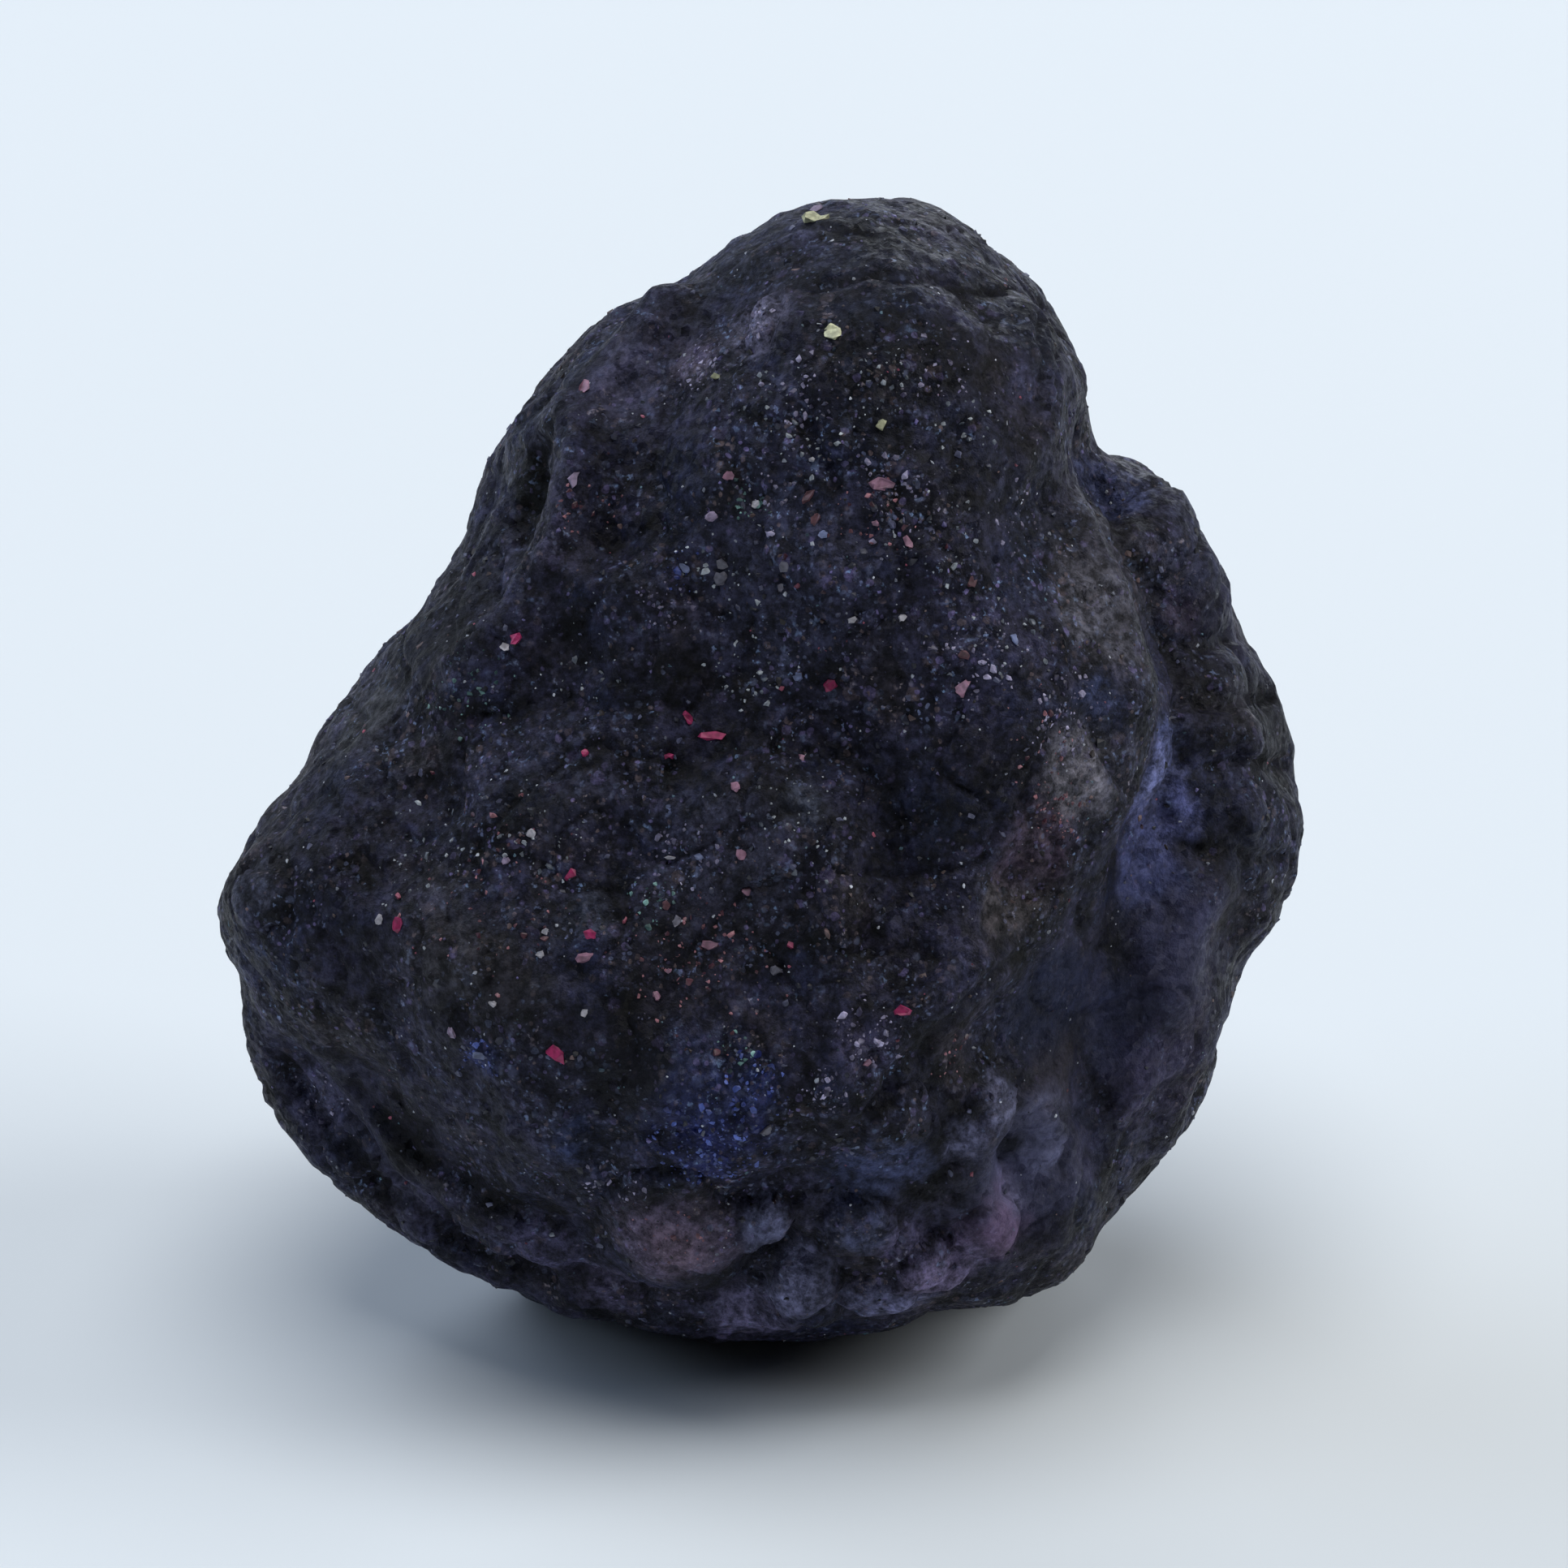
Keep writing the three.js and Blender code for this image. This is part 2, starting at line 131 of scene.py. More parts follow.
def make_floor():
    plane = bmesh.new()
    bmesh.ops.create_grid(plane, x_segments=1, y_segments=1, size=FLOOR_SIZE / 2)
    mesh = bpy.data.meshes.new("floor")
    plane.to_mesh(mesh)
    plane.free()
    floor = link(bpy.data.objects.new("floor", mesh))
    paper = bpy.data.materials.new("pale paper")
    paper.use_nodes = True
    shader = paper.node_tree.nodes["Principled BSDF"]
    shader.inputs["Base Color"].default_value = FLOOR_COLOUR
    shader.inputs["Roughness"].default_value = FLOOR_ROUGHNESS
    shader.inputs["Specular IOR Level"].default_value = FLOOR_SHINE
    mesh.materials.append(paper)


# ---------------------------------------------------------------- the stone's shape

SUBDIVISIONS = 2
MERGE = 1e-7

# Zones of the crust: [across, up], radius in millimetres, and how much coarser (or smoother,
# below 0) the grain is there than elsewhere.
GRAIN_ZONES = [
    ((2.5, 8.5), 8, 0.45),
    ((5.5, 3.5), 7, 0.35),
    ((-3.5, -2.0), 7, 0.3),
    ((-10, -1), 5, 0.1),
    ((12.5, -5.5), 7, -0.45),
    ((14.5, 5), 6, -0.35),
    ((9, -12), 5, -0.3),
    ((-12, -10), 5, -0.25),
    ((-4.5, 13), 4, -0.2),
    ((9, -7), 4, -0.4),
    ((7.5, -11), 3.4, -0.6),
    ((-4, -8.5), 2.6, -0.4),
    ((-1, -14.5), 4, -0.25),
    ((8.5, 14), 2.6, -0.3),
    ((-7, 9.5), 2, -0.2),
    ((3, 15.6), 3.4, -0.15),
]
USUAL_GRAIN = 0.55
LEAST_GRAIN = 0.08
MOST_GRAIN = 1.1

# The crust's relief. Sizes and heights are in millimetres.
CRUST_SIZE = 1.5
CRUST_HEIGHT = 0.10
SMALL_FOLDS = 0.5  # their height beside the large folds
SMALL_FOLD_RATE = 2.3  # how many small folds to a large one
SWIRL_SIZE = 0.9
SWIRL_REACH = 0.25
GRAIN_SIZE = 0.62
GRAIN_HEIGHT = 0.10
GRAIN_TILT = 0.42
GRAIN_SHUFFLE = 7.31  # picks each grain's own height and tilt
GROOVE_DEPTH = 0.05
GROOVE_WIDTH = 0.25  # as a share of a grain
PIT_SPACING = 1.9
PIT_SHARE = 0.5
PIT_SHUFFLE = 5.17  # picks which pits there are, and their sizes
PIT_RADIUS = 0.34
PIT_SMALLEST = 0.6
PIT_SPREAD = 1.4
PIT_DEPTH = 0.3
CRUST_DROP = 0.05  # sinks the crust a little, so that less of it passes the solid

# Sharp creases and crests: depth (below 0 for a crest) and half width in millimetres, and the
# course that each one takes, in the same places as above.
CREASES = [
    ("lip", 0.34, 0.5, [(-14.9, -8), (-13.5, -10.2), (-11.7, -12), (-9.5, -13.5), (-6.7, -14.9)]),
    ("inner lip", 0.24, 0.45, [(-12.4, -9.1), (-10.7, -11), (-8.5, -12.4), (-5.9, -13.5)]),
    ("foot", 0.3, 0.45, [(-5.6, -14.7), (-2.8, -15.4), (0, -15), (0.5, -13.9), (1.2, -13.4)]),
    ("valley", 0.36, 0.5, [(10.4, 9.9), (10.9, 8.4), (12, 6.2), (12.9, 4), (12.9, 1.6), (12.4, -0.8)]),
    ("upper shoulder groove", 0.26, 0.36, [(12.9, 4.7), (14.8, 4.8)]),
    ("middle shoulder groove", 0.26, 0.36, [(13.5, 2.9), (15.7, 3.1)]),
    ("lower shoulder groove", 0.24, 0.36, [(13.7, 0.9), (16.4, 1)]),
    ("last shoulder groove", 0.22, 0.36, [(13.4, -1.6), (16.2, -2)]),
    ("lower crest", -0.2, 0.45, [(6.2, -5), (4.2, -6.8), (2.2, -8.8)]),
    ("under the lower crest", 0.24, 0.45, [(7.4, -5.4), (5.2, -7.6), (3.4, -9.8)]),
    ("outside the arch", 0.14, 0.4, [(1.6, 1.9), (3.7, 0.3), (4.3, -2.3), (3.5, -4.7)]),
    ("inside the arch", 0.2, 0.36, [(-0.6, -0.9), (0.9, -0.4), (1.5, -1.6), (1.2, -3)]),
    ("left crest", -0.18, 0.5, [(-3.1, 14.7), (-4.4, 13.3), (-5.7, 11.8), (-6, 9.5), (-6.7, 7.2)]),
    ("left of the crest", 0.3, 0.6, [(-6.6, 11.2), (-7, 9.6), (-7.4, 8)]),
    ("under the brow", 0.2, 0.4, [(1.2, 15.6), (3.4, 16.2), (5.6, 15.9), (7, 14.8)]),
    ("temple", 0.2, 0.45, [(-2.6, 12.6), (-3.4, 10.2), (-3.4, 8.2)]),
    ("brow cleft", 0.2, 0.36, [(1.2, 12.4), (1.4, 10.8), (2.2, 9.6)]),
    ("waist", 0.13, 0.4, [(-9, 2.4), (-6, 3), (-2.5, 2.6)]),
    ("second waist", 0.13, 0.4, [(-3, 1), (0.5, 1.6), (4, 1.2)]),
    ("cheek", 0.22, 0.4, [(8.6, 15), (8.9, 13), (8.2, 11.2)]),
]
# Knobs on the crust: [across, up], radius and height in millimetres.
KNOBS = [
    ("pink shelf", (-2.9, -13.8), 2.4, 0.3),
    ("grey pebble", (0, -13.2), 0.95, 0.35),
    ("pale pebble", (1.1, -15), 1.25, 0.45),
    ("dark pebble", (2.9, -13.5), 1.3, 0.35),
    ("violet pebble", (3.6, -15.5), 1.1, 0.35),
    ("lilac pebble", (5.3, -14.7), 1, 0.3),
    ("rose pebble", (7, -13.5), 1.1, 0.3),
    ("first lip bead", (-12.8, -10.9), 1, 0.22),
    ("second lip bead", (-10.7, -12.7), 1.1, 0.25),
    ("third lip bead", (-8.4, -13.9), 1, 0.22),
    ("ring hole filling", (8.3, -10.7), 1.1, 0.3),
    ("ring top", (7.4, -9.4), 1, 0.09),
    ("ring left", (6.4, -10.6), 0.9, 0.09),
    ("ring left foot", (6.5, -11.9), 0.9, 0.09),
    ("ring right foot", (8.4, -12.1), 1, 0.09),
    ("shoulder top", (13.8, 6.4), 1.2, 0.2),
    ("second shoulder bump", (15, 3.9), 0.9, 0.22),
    ("third shoulder bump", (15.2, 1.9), 0.9, 0.22),
    ("fourth shoulder bump", (15, -0.4), 1, 0.22),
    ("lilac boss", (-0.2, 14.6), 0.9, 0.2),
    ("chin boss", (4.3, -10.2), 1.2, 0.2),
    ("toe", (-15.6, -3.2), 1.2, 0.2),
]
KNOB_RIM = 0.3
KNOB_RIM_DEPTH = 0.14
KNOB_ROUNDNESS = 0.38  # the lower, the flatter the knobs and the steeper their sides
KNOB_STRAY = 0.5
KNOB_STRAY_SIZE = 1.2
CREASE_STEP = 0.12
CREASE_WANDER = 0.35
CRACK_SIZE = 2.7
CRACK_WIDTH = 0.09
CRACK_DEPTH = 0.13


def tint(red, green, blue):
    """A colour as a paint chart gives it, 0 to 255, turned into light."""
    return tuple((part / 255) ** 2.2 for part in (red, green, blue)) + (1,)


# Stains on the crust, and a few patches of painted shade (head shadow, black pit, ring hole, head mid
# shade) and of painted highlight (pink knob glow): [across, up], radius in millimetres, colour and
# strength.
STAINS_AND_SHADING = [
    ("head", (3.4, 15.8), 3.4, tint(25, 29, 44), 0.85),
    ("head shadow", (8.3, 14.4), 1.9, tint(26, 29, 42), 0.9),
    ("head dark", (5.4, 13.6), 2, tint(20, 22, 32), 0.8),
    ("pale lilac", (-0.3, 14.6), 1.4, tint(124, 120, 138), 0.8),
    ("pale crest", (-2.1, 13.4), 1.3, tint(108, 98, 112), 0.75),
    ("left brow", (-3.4, 14), 1.6, tint(56, 54, 68), 0.7),
    # Painted shade in the pit left of the crest.
    ("black pit", (-6.9, 9.6), 1.9, tint(6, 7, 12), 1),
    ("left edge of the head", (-6.9, 11.2), 1.3, tint(58, 58, 68), 0.6),
    ("temple", (-4.6, 10), 1.7, tint(38, 37, 50), 0.65),
    ("middle dark", (3.6, 11.2), 1.4, tint(20, 22, 32), 0.8),
    ("nape", (8.2, 8.6), 2.2, tint(38, 42, 56), 0.6),
    ("right grains", (6.9, 4.6), 3, tint(60, 58, 76), 0.6),
    ("blue grains", (10.2, 2.6), 1.3, tint(56, 64, 92), 0.6),
    ("olive shoulder", (10.6, 5.6), 2.4, tint(94, 92, 96), 0.85),
    ("olive crest", (9.9, 0.9), 2.1, tint(110, 106, 108), 0.9),
    ("olive waist", (7.4, -3.4), 1.9, tint(80, 74, 72), 0.85),
    ("rosy waist", (8.2, -1.6), 1.9, tint(76, 62, 72), 0.7),
    ("upper streak", (12.4, 1.4), 1.6, tint(78, 84, 116), 0.75),
    ("violet streak", (12.3, -0.2), 1.9, tint(104, 108, 152), 0.85),
    ("lower streak", (11.6, -2.2), 1.7, tint(78, 82, 116), 0.75),
    ("blue nape", (10.9, 9.4), 1.5, tint(78, 84, 116), 0.85),
    ("shoulder", (13.2, 7.6), 2, tint(52, 54, 72), 0.7),
    ("shoulder olive", (15, 2.4), 1.4, tint(66, 64, 68), 0.7),
    ("shoulder rose", (12.9, 5.6), 1.1, tint(62, 52, 68), 0.7),
    ("rear shoulder", (15.2, -1.6), 1.8, tint(40, 43, 60), 0.7),
    ("dark side", (4.8, -0.6), 1.9, tint(26, 30, 42), 0.7),
    ("smooth flank", (9, -6.1), 2.6, tint(34, 38, 58), 0.9),
    ("dusty flank", (13, -4.8), 2.6, tint(60, 60, 80), 0.8),
    ("low flank", (12.4, -8.8), 2.6, tint(58, 54, 74), 0.8),
    ("ring patch", (7.4, -10.9), 3, tint(88, 88, 108), 0.85),
    ("ring top", (7.4, -9.3), 1.0, tint(118, 118, 140), 0.9),
    ("ring right", (8.5, -10.7), 0.95, tint(104, 104, 126), 0.9),
    ("ring left", (6.3, -10.8), 0.95, tint(104, 104, 126), 0.9),
    ("ring foot", (7.5, -12.2), 1.0, tint(108, 104, 128), 0.85),
    # Painted shade in the ring's hole.
    ("ring hole", (7.45, -10.7), 0.75, tint(18, 20, 28), 0.95),
    ("rose foot", (7.2, -13.4), 1.6, tint(112, 92, 116), 0.85),
    ("second rose foot", (5.5, -14.6), 1.6, tint(122, 110, 136), 0.85),
    ("blue belly", (-1.6, -10.4), 2.1, tint(36, 44, 98), 0.6),
    ("blue haze", (-1.8, -8.9), 2.2, tint(56, 62, 92), 0.65),
    ("left blue", (-8.7, -8.1), 0.8, tint(60, 70, 116), 0.7),
    ("pink knob", (-2.8, -13.7), 2.4, tint(102, 90, 106), 0.8),
    ("small knob", (0, -13.2), 0.95, tint(104, 106, 130), 0.8),
    ("middle knob", (2.9, -13.5), 1.2, tint(88, 92, 118), 0.75),
    ("foot knob", (1.1, -15), 1.6, tint(128, 128, 154), 0.85),
    ("lower lip", (-13.6, -9.6), 1.9, tint(84, 82, 104), 0.75),
    ("second lip", (-10.6, -12.6), 1.9, tint(82, 80, 102), 0.75),
    ("third lip", (-7, -14.2), 1.8, tint(84, 80, 104), 0.75),
    ("toe", (-15.8, -3.2), 1.4, tint(72, 74, 86), 0.7),
    ("left olive", (-12.2, 2.6), 2.6, tint(64, 64, 64), 0.85),
    ("low olive", (-8.6, -5.4), 2.8, tint(50, 48, 50), 0.85),
    ("lower dark", (-4.2, -8.3), 2.3, tint(17, 18, 25), 0.9),
    ("middle left dark", (-3, -5.4), 2, tint(20, 18, 23), 0.8),
    ("left dark", (-6.6, 0.4), 2.4, tint(42, 44, 56), 0.6),
    ("eye grey", (1.2, -0.4), 1.2, tint(66, 70, 80), 0.7),
    ("belly grey", (-5.6, -3.8), 1.4, tint(64, 68, 76), 0.5),
    ("flank hollow", (11, -7), 1.8, tint(50, 52, 72), 0.75),
    ("ring hollow", (8.2, -10.8), 0.6, tint(90, 90, 108), 0.4),
    # Painted highlight on the pink knob.
    ("pink knob glow", (-2.7, -13.9), 1.2, tint(120, 98, 104), 0.4),
    ("violet knob", (3.6, -15.7), 1.7, tint(116, 116, 144), 0.85),
    ("foot shelf", (-0.4, -16.3), 2.2, tint(116, 110, 136), 0.85),
    ("lip foot", (-4.6, -15.2), 1.7, tint(92, 86, 108), 0.8),
    ("second blue", (-0.4, -8.9), 1.4, tint(44, 54, 96), 0.6),
    ("left blue haze", (-5.6, -10.6), 1.5, tint(42, 54, 84), 0.6),
    ("left crest", (-4.4, 12.6), 1.8, tint(80, 78, 96), 0.75),
    ("second left crest", (-6.2, 8), 1.7, tint(70, 68, 84), 0.65),
    ("cluster ground", (-1.2, -2.2), 3.4, tint(66, 65, 76), 0.6),
    ("middle ground", (0.5, 6.5), 4.2, tint(60, 61, 78), 0.6),
    ("bottom", (3.8, -11.6), 2.2, tint(64, 70, 96), 0.75),
    ("right of the ring", (10, -11), 1.4, tint(58, 56, 76), 0.7),
    ("crown", (3.2, 17.6), 2.6, tint(18, 20, 30), 0.9),
    ("head mid shade", (3.2, 13.4), 2.4, tint(22, 24, 35), 0.8),
    ("low granular", (-2.5, -5.6), 2.4, tint(46, 44, 54), 0.5),
    ("left low olive", (-9.8, -4.6), 2.4, tint(62, 60, 62), 0.6),
    ("diagonal", (3.2, -7.8), 1.5, tint(72, 68, 88), 0.7),
    ("rear flank", (14.2, -7.2), 2.0, tint(56, 58, 82), 0.7),
    ("right of the crown", (6.4, 16.6), 2.0, tint(22, 24, 36), 0.8),
    ("lilac side", (4.4, -13.9), 1.4, tint(92, 86, 110), 0.7),
    ("streak heart", (12.2, 0.4), 1.6, tint(116, 120, 156), 0.9),
    ("right temple", (6.6, 10.8), 2, tint(34, 36, 48), 0.6),
]
SIDE_STAINS = [
    # name, [turn from the viewer, rise] in degrees, radius, colour, strength
    ("right olive", (80, 40), 4.2, tint(70, 68, 72), 0.7),
    ("right black", (95, 5), 3.6, tint(18, 20, 28), 0.8),
    ("right lilac", (110, -25), 3.6, tint(78, 72, 94), 0.7),
    ("right smoke", (120, 30), 3.6, tint(56, 58, 70), 0.7),
    ("rear right dark", (140, -5), 4.4, tint(24, 26, 36), 0.75),
    ("rear olive", (160, 20), 5, tint(66, 63, 66), 0.75),
    ("rear blue", (170, -15), 3.4, tint(40, 50, 104), 0.6),
    ("rear black", (185, 40), 4.4, tint(16, 18, 26), 0.8),
    ("rear lilac", (200, -30), 4, tint(84, 76, 98), 0.7),
    ("rear grey", (205, 10), 4.6, tint(66, 68, 80), 0.7),
    ("rear left olive", (225, 30), 4.6, tint(70, 66, 66), 0.75),
    ("rear left dark", (235, -10), 4.2, tint(22, 22, 30), 0.8),
    ("left smoke", (255, 15), 4, tint(62, 62, 76), 0.7),
    ("left brown", (265, -20), 3.6, tint(64, 54, 56), 0.7),
    ("left black", (280, 35), 3.4, tint(20, 21, 30), 0.8),
    ("top grey", (190, 75), 4.2, tint(58, 60, 74), 0.7),
]
PATCH_STRAY = 0.9
PATCH_STRAY_SIZE = 1.4
PATCH_FRAY = 0.4
PATCH_FRAYS_PER_MM = 2.4
PATCH_FULLNESS = 1.6  # the higher, the wider a patch's full middle
WHOLE_STRAY = 2.2  # a patch of this radius or more strays in full, a smaller one less


def look_at_stone(surface, across, up):
    """Where the line of sight through a place meets the stone, and the way the surface faces."""
    way = (sight_plane(across, up) - CAMERA_PLACE).normalized()
    place, facing, _, _ = surface.ray_cast(CAMERA_PLACE, way)
    return place, facing


def look_from_around(surface, turn, rise):
    """Where the stone is met from a side: turned round from the viewer, and risen, in degrees."""
    turn, rise = math.radians(turn), math.radians(rise)
    level = Vector((math.sin(turn), -math.cos(turn), 0)) * math.cos(rise)
    way = level + Vector((0, 0, math.sin(rise)))
    place, facing, _, _ = surface.ray_cast(STONE_MIDDLE + way * CAMERA_DISTANCE, -way)
    return place, facing


def fade(distance, edge):
    """1 in the middle of a feature, falling smoothly to 0 at its edge."""
    share = min(distance / edge, 1)
    return (1 - share * share) ** 2


def zones_on(surface):
    """The crust's zones, with their centres brought down on to the stone."""
    return [(look_at_stone(surface, *spot)[0], radius, more) for spot, radius, more in GRAIN_ZONES]


def graininess(place, zones):
    coarse = USUAL_GRAIN
    for centre, radius, more in zones:
        coarse += more * fade((place - centre).length, radius * MM)
    return min(max(coarse, LEAST_GRAIN), MOST_GRAIN)


def crust_height(place, coarse):
    """How far the crust stands out there, in millimetres."""
    spot = place / MM
    small_folds = noise.noise(spot / CRUST_SIZE * SMALL_FOLD_RATE)
    folds = noise.noise(spot / CRUST_SIZE) + SMALL_FOLDS * small_folds
    swirl = noise.noise_vector(spot / SWIRL_SIZE) * SWIRL_REACH
    near, seeds = noise.voronoi((spot + swirl) / GRAIN_SIZE)
    own = noise.cell_vector(seeds[0] * GRAIN_SHUFFLE)
    lean = own - Vector((0.5, 0.5, 0.5))
    offset = (spot + swirl) / GRAIN_SIZE - seeds[0]
    grain = (own.z - 0.5) * GRAIN_HEIGHT + lean.dot(offset) * GRAIN_TILT * GRAIN_SIZE * 0.5
    groove = -GROOVE_DEPTH * (1 - min((near[1] - near[0]) / GROOVE_WIDTH, 1))
    hollows, holes = noise.voronoi(spot / PIT_SPACING)
    chance = 0.5 + 0.5 * noise.cell(holes[0] * PIT_SHUFFLE)
    pit_radius = PIT_RADIUS * (PIT_SMALLEST + chance * PIT_SPREAD)
    pit = -PIT_DEPTH * fade(hollows[0] * PIT_SPACING, pit_radius)
    pit = pit if chance < PIT_SHARE else 0
    crack = -CRACK_DEPTH * fade(abs(noise.noise(spot / CRACK_SIZE)), CRACK_WIDTH)
    return CRUST_HEIGHT * folds + coarse * (grain + groove + pit) + crack - CRUST_DROP


def crease_tree(surface):
    """Places close together along every crease, each with the depth and width of its crease."""
    places = []
    for _, depth, width, course in CREASES:
        for start, end in zip(course, course[1:]):
            start = Vector(start)
            end = Vector(end)
            steps = math.ceil((end - start).length / CREASE_STEP)
            for step in range(steps + 1):
                spot = start.lerp(end, step / steps)
                wander = noise.noise_vector((spot.x, spot.y, 0)) * CREASE_WANDER
                place, _ = look_at_stone(surface, spot.x + wander.x, spot.y + wander.y)
                if place:
                    places.append((place, depth, width))
    tree = KDTree(len(places))
    for number, (place, _, _) in enumerate(places):
        tree.insert(place, number)
    tree.balance()
    return tree, places


def crease_height(place, tree, places):
    """How far a crease takes the surface in there, or a crest out, in millimetres."""
    _, number, gap = tree.find(place)
    _, depth, width = places[number]
    return -depth * fade(gap / MM, width)


def knobs_on(surface):
    return [
        (look_at_stone(surface, *spot)[0] / MM, radius, height) for _, spot, radius, height in KNOBS
    ]


def knob_height(spot, knobs):
    """How far the knobs raise the crust there, and how deep the groove round them is."""
    strayed = spot + noise.noise_vector(spot / KNOB_STRAY_SIZE) * KNOB_STRAY
    raised = 0
    groove = 0
    for centre, radius, height in knobs:
        gap = (strayed - centre).length
        if gap < radius:
            raised = max(raised, height * (1 - (gap / radius) ** 2) ** KNOB_ROUNDNESS)
        elif gap < radius + KNOB_RIM:
            groove = max(groove, KNOB_RIM_DEPTH * fade(gap - radius, KNOB_RIM))
    groove = 0 if raised else groove
    return raised, groove


def stains_and_shading_on(surface):
    """The stains and the patches of painted shade and highlight, with their centres brought down on to the
    stone and counted in millimetres.
    """
    stains_and_shading = [(look_at_stone(surface, *colour_patch[1])[0], *colour_patch[2:]) for colour_patch in STAINS_AND_SHADING]
    stains_and_shading += [(look_from_around(surface, *colour_patch[1])[0], *colour_patch[2:]) for colour_patch in SIDE_STAINS]
    return [
        (place / MM, radius, Vector(colour[:3]), strength)
        for place, radius, colour, strength in stains_and_shading
    ]


def stain_and_shading_at(spot, stains_and_shading):
    """What the stains and the patches of painted shade and highlight add to the colour at a place, and how
    much shows of the crust below.
    """
    fray = noise.noise_vector(spot * PATCH_FRAYS_PER_MM) * PATCH_FRAY
    stray = noise.noise_vector(spot / PATCH_STRAY_SIZE) * PATCH_STRAY + fray
    colour_patch = Vector((0, 0, 0))
    bare = 1
    for centre, radius, colour, strength in stains_and_shading:
        gap = (spot + stray * min(radius / WHOLE_STRAY, 1) - centre).length
        if gap < radius:
            share = strength * min(PATCH_FULLNESS * fade(gap, radius), 1)
            colour_patch = colour_patch.lerp(colour, share)
            bare *= 1 - share
    return colour_patch, bare


def fine_stone():
    """The nodule with its crust, four times as finely divided as the solid each way."""
    shape = bmesh.new()
    shape.from_mesh(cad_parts["sapphire_nodule"].data)
    bmesh.ops.remove_doubles(shape, verts=shape.verts, dist=MERGE)
    mesh = bpy.data.meshes.new("coarse nodule")
    shape.to_mesh(mesh)
    shape.free()
    stone = link(bpy.data.objects.new("corundum_nodule", mesh))
    rounding = stone.modifiers.new("rounding", "SUBSURF")
    rounding.levels = SUBDIVISIONS
    rounding.render_levels = SUBDIVISIONS
    depsgraph = bpy.context.evaluated_depsgraph_get()
    fine = bpy.data.meshes.new_from_object(stone.evaluated_get(depsgraph))
    fine.name = "corundum nodule"
    stone.modifiers.clear()
    stone.data = fine
    bpy.data.meshes.remove(mesh)
    surface = BVHTree.FromObject(stone, bpy.context.evaluated_depsgraph_get())
    zones = zones_on(surface)
    creases, places = crease_tree(surface)
    stains_and_shading = stains_and_shading_on(surface)
    knobs = knobs_on(surface)
    fine.attributes.new("colour_patch", "FLOAT_COLOR", "POINT")
    fine.attributes.new("bare", "FLOAT", "POINT")
    fine.attributes.new("crowd", "FLOAT", "POINT")
    fine.attributes.new("relief", "FLOAT", "POINT")
    patched = fine.attributes["colour_patch"].data
    bare = fine.attributes["bare"].data
    crowd = fine.attributes["crowd"].data
    relief = fine.attributes["relief"].data
    facings = [vertex.normal.copy() for vertex in fine.vertices]
    for vertex, facing in zip(fine.vertices, facings):
        coarse = graininess(vertex.co, zones)
        crowd[vertex.index].value = coarse
        colour_patch, bare[vertex.index].value = stain_and_shading_at(vertex.co / MM, stains_and_shading)
        patched[vertex.index].color = (*colour_patch, 1)
        height = crust_height(vertex.co, coarse)
        height += crease_height(vertex.co, creases, places)
        raised, groove = knob_height(vertex.co / MM, knobs)
        # The relief, less the knobs' own rise, is kept for the painted shade in hollows and painted light
        # on rises.
        relief[vertex.index].value = height - groove
        height += raised - groove
        vertex.co += facing * height * MM
        vertex.co.z = max(vertex.co.z, 0)
    fine.polygons.foreach_set("use_smooth", [True] * len(fine.polygons))
    fine.update()
    return stone


# ---------------------------------------------------------------- building materials


def feed(tree, socket, value):
    """Joins a socket to another one, or sets it to a plain value."""
    if isinstance(value, bpy.types.NodeSocket):
        tree.links.new(value, socket)
    else:
        socket.default_value = value


def add(tree, kind, settings=None, **inputs):
    """A shader node with its settings and inputs. An input is named, or numbered as in _0."""
    made = tree.nodes.new("ShaderNode" + kind)
    for name, value in (settings or {}).items():
        setattr(made, name, value)
    for name, value in inputs.items():
        place = int(name[1:]) if name[0] == "_" else name.replace("_", " ")
        feed(tree, made.inputs[place], value)
    return made


def calculate(tree, operation, *values):
    named = {f"_{place}": value for place, value in enumerate(values)}
    return add(tree, "Math", {"operation": operation}, **named).outputs[0]


def ramp(tree, value, low, high, to_low=0.0, to_high=1.0):
    """A value spread from low..high to to_low..to_high, and held there."""
    made = add(tree, "MapRange", {"interpolation_type": "SMOOTHSTEP"}, Value=value)
    made.inputs["From Min"].default_value = low
    made.inputs["From Max"].default_value = high
    made.inputs["To Min"].default_value = to_low
    made.inputs["To Max"].default_value = to_high
    return made.outputs["Result"]


def blend(tree, share, first, second):
    made = add(tree, "Mix", {"data_type": "RGBA"}, Factor=share)
    feed(tree, made.inputs[6], first)
    feed(tree, made.inputs[7], second)
    return made.outputs[2]


def in_millimetres(tree):
    """Places on the piece, in millimetres."""
    spots = tree.nodes.new("ShaderNodeTexCoord").outputs["Object"]
    return add(tree, "Mapping", None, Vector=spots, Scale=(1000, 1000, 1000)).outputs[0]


def wavered(tree, spots, scale, reach):
    """Places moved about by up to half the reach, so that what is drawn there has ragged edges."""
    waver = add(tree, "TexNoise", None, Vector=spots, Scale=scale, Detail=2.0, Roughness=0.65)
    half = (0.5, 0.5, 0.5)
    shift = add(tree, "VectorMath", {"operation": "SUBTRACT"}, _0=waver.outputs["Color"], _1=half)
    stray = add(tree, "VectorMath", {"operation": "MULTIPLY_ADD"}, _0=shift.outputs[0], _2=spots)
    stray.inputs[1].default_value = (reach, reach, reach)
    return stray.outputs[0]


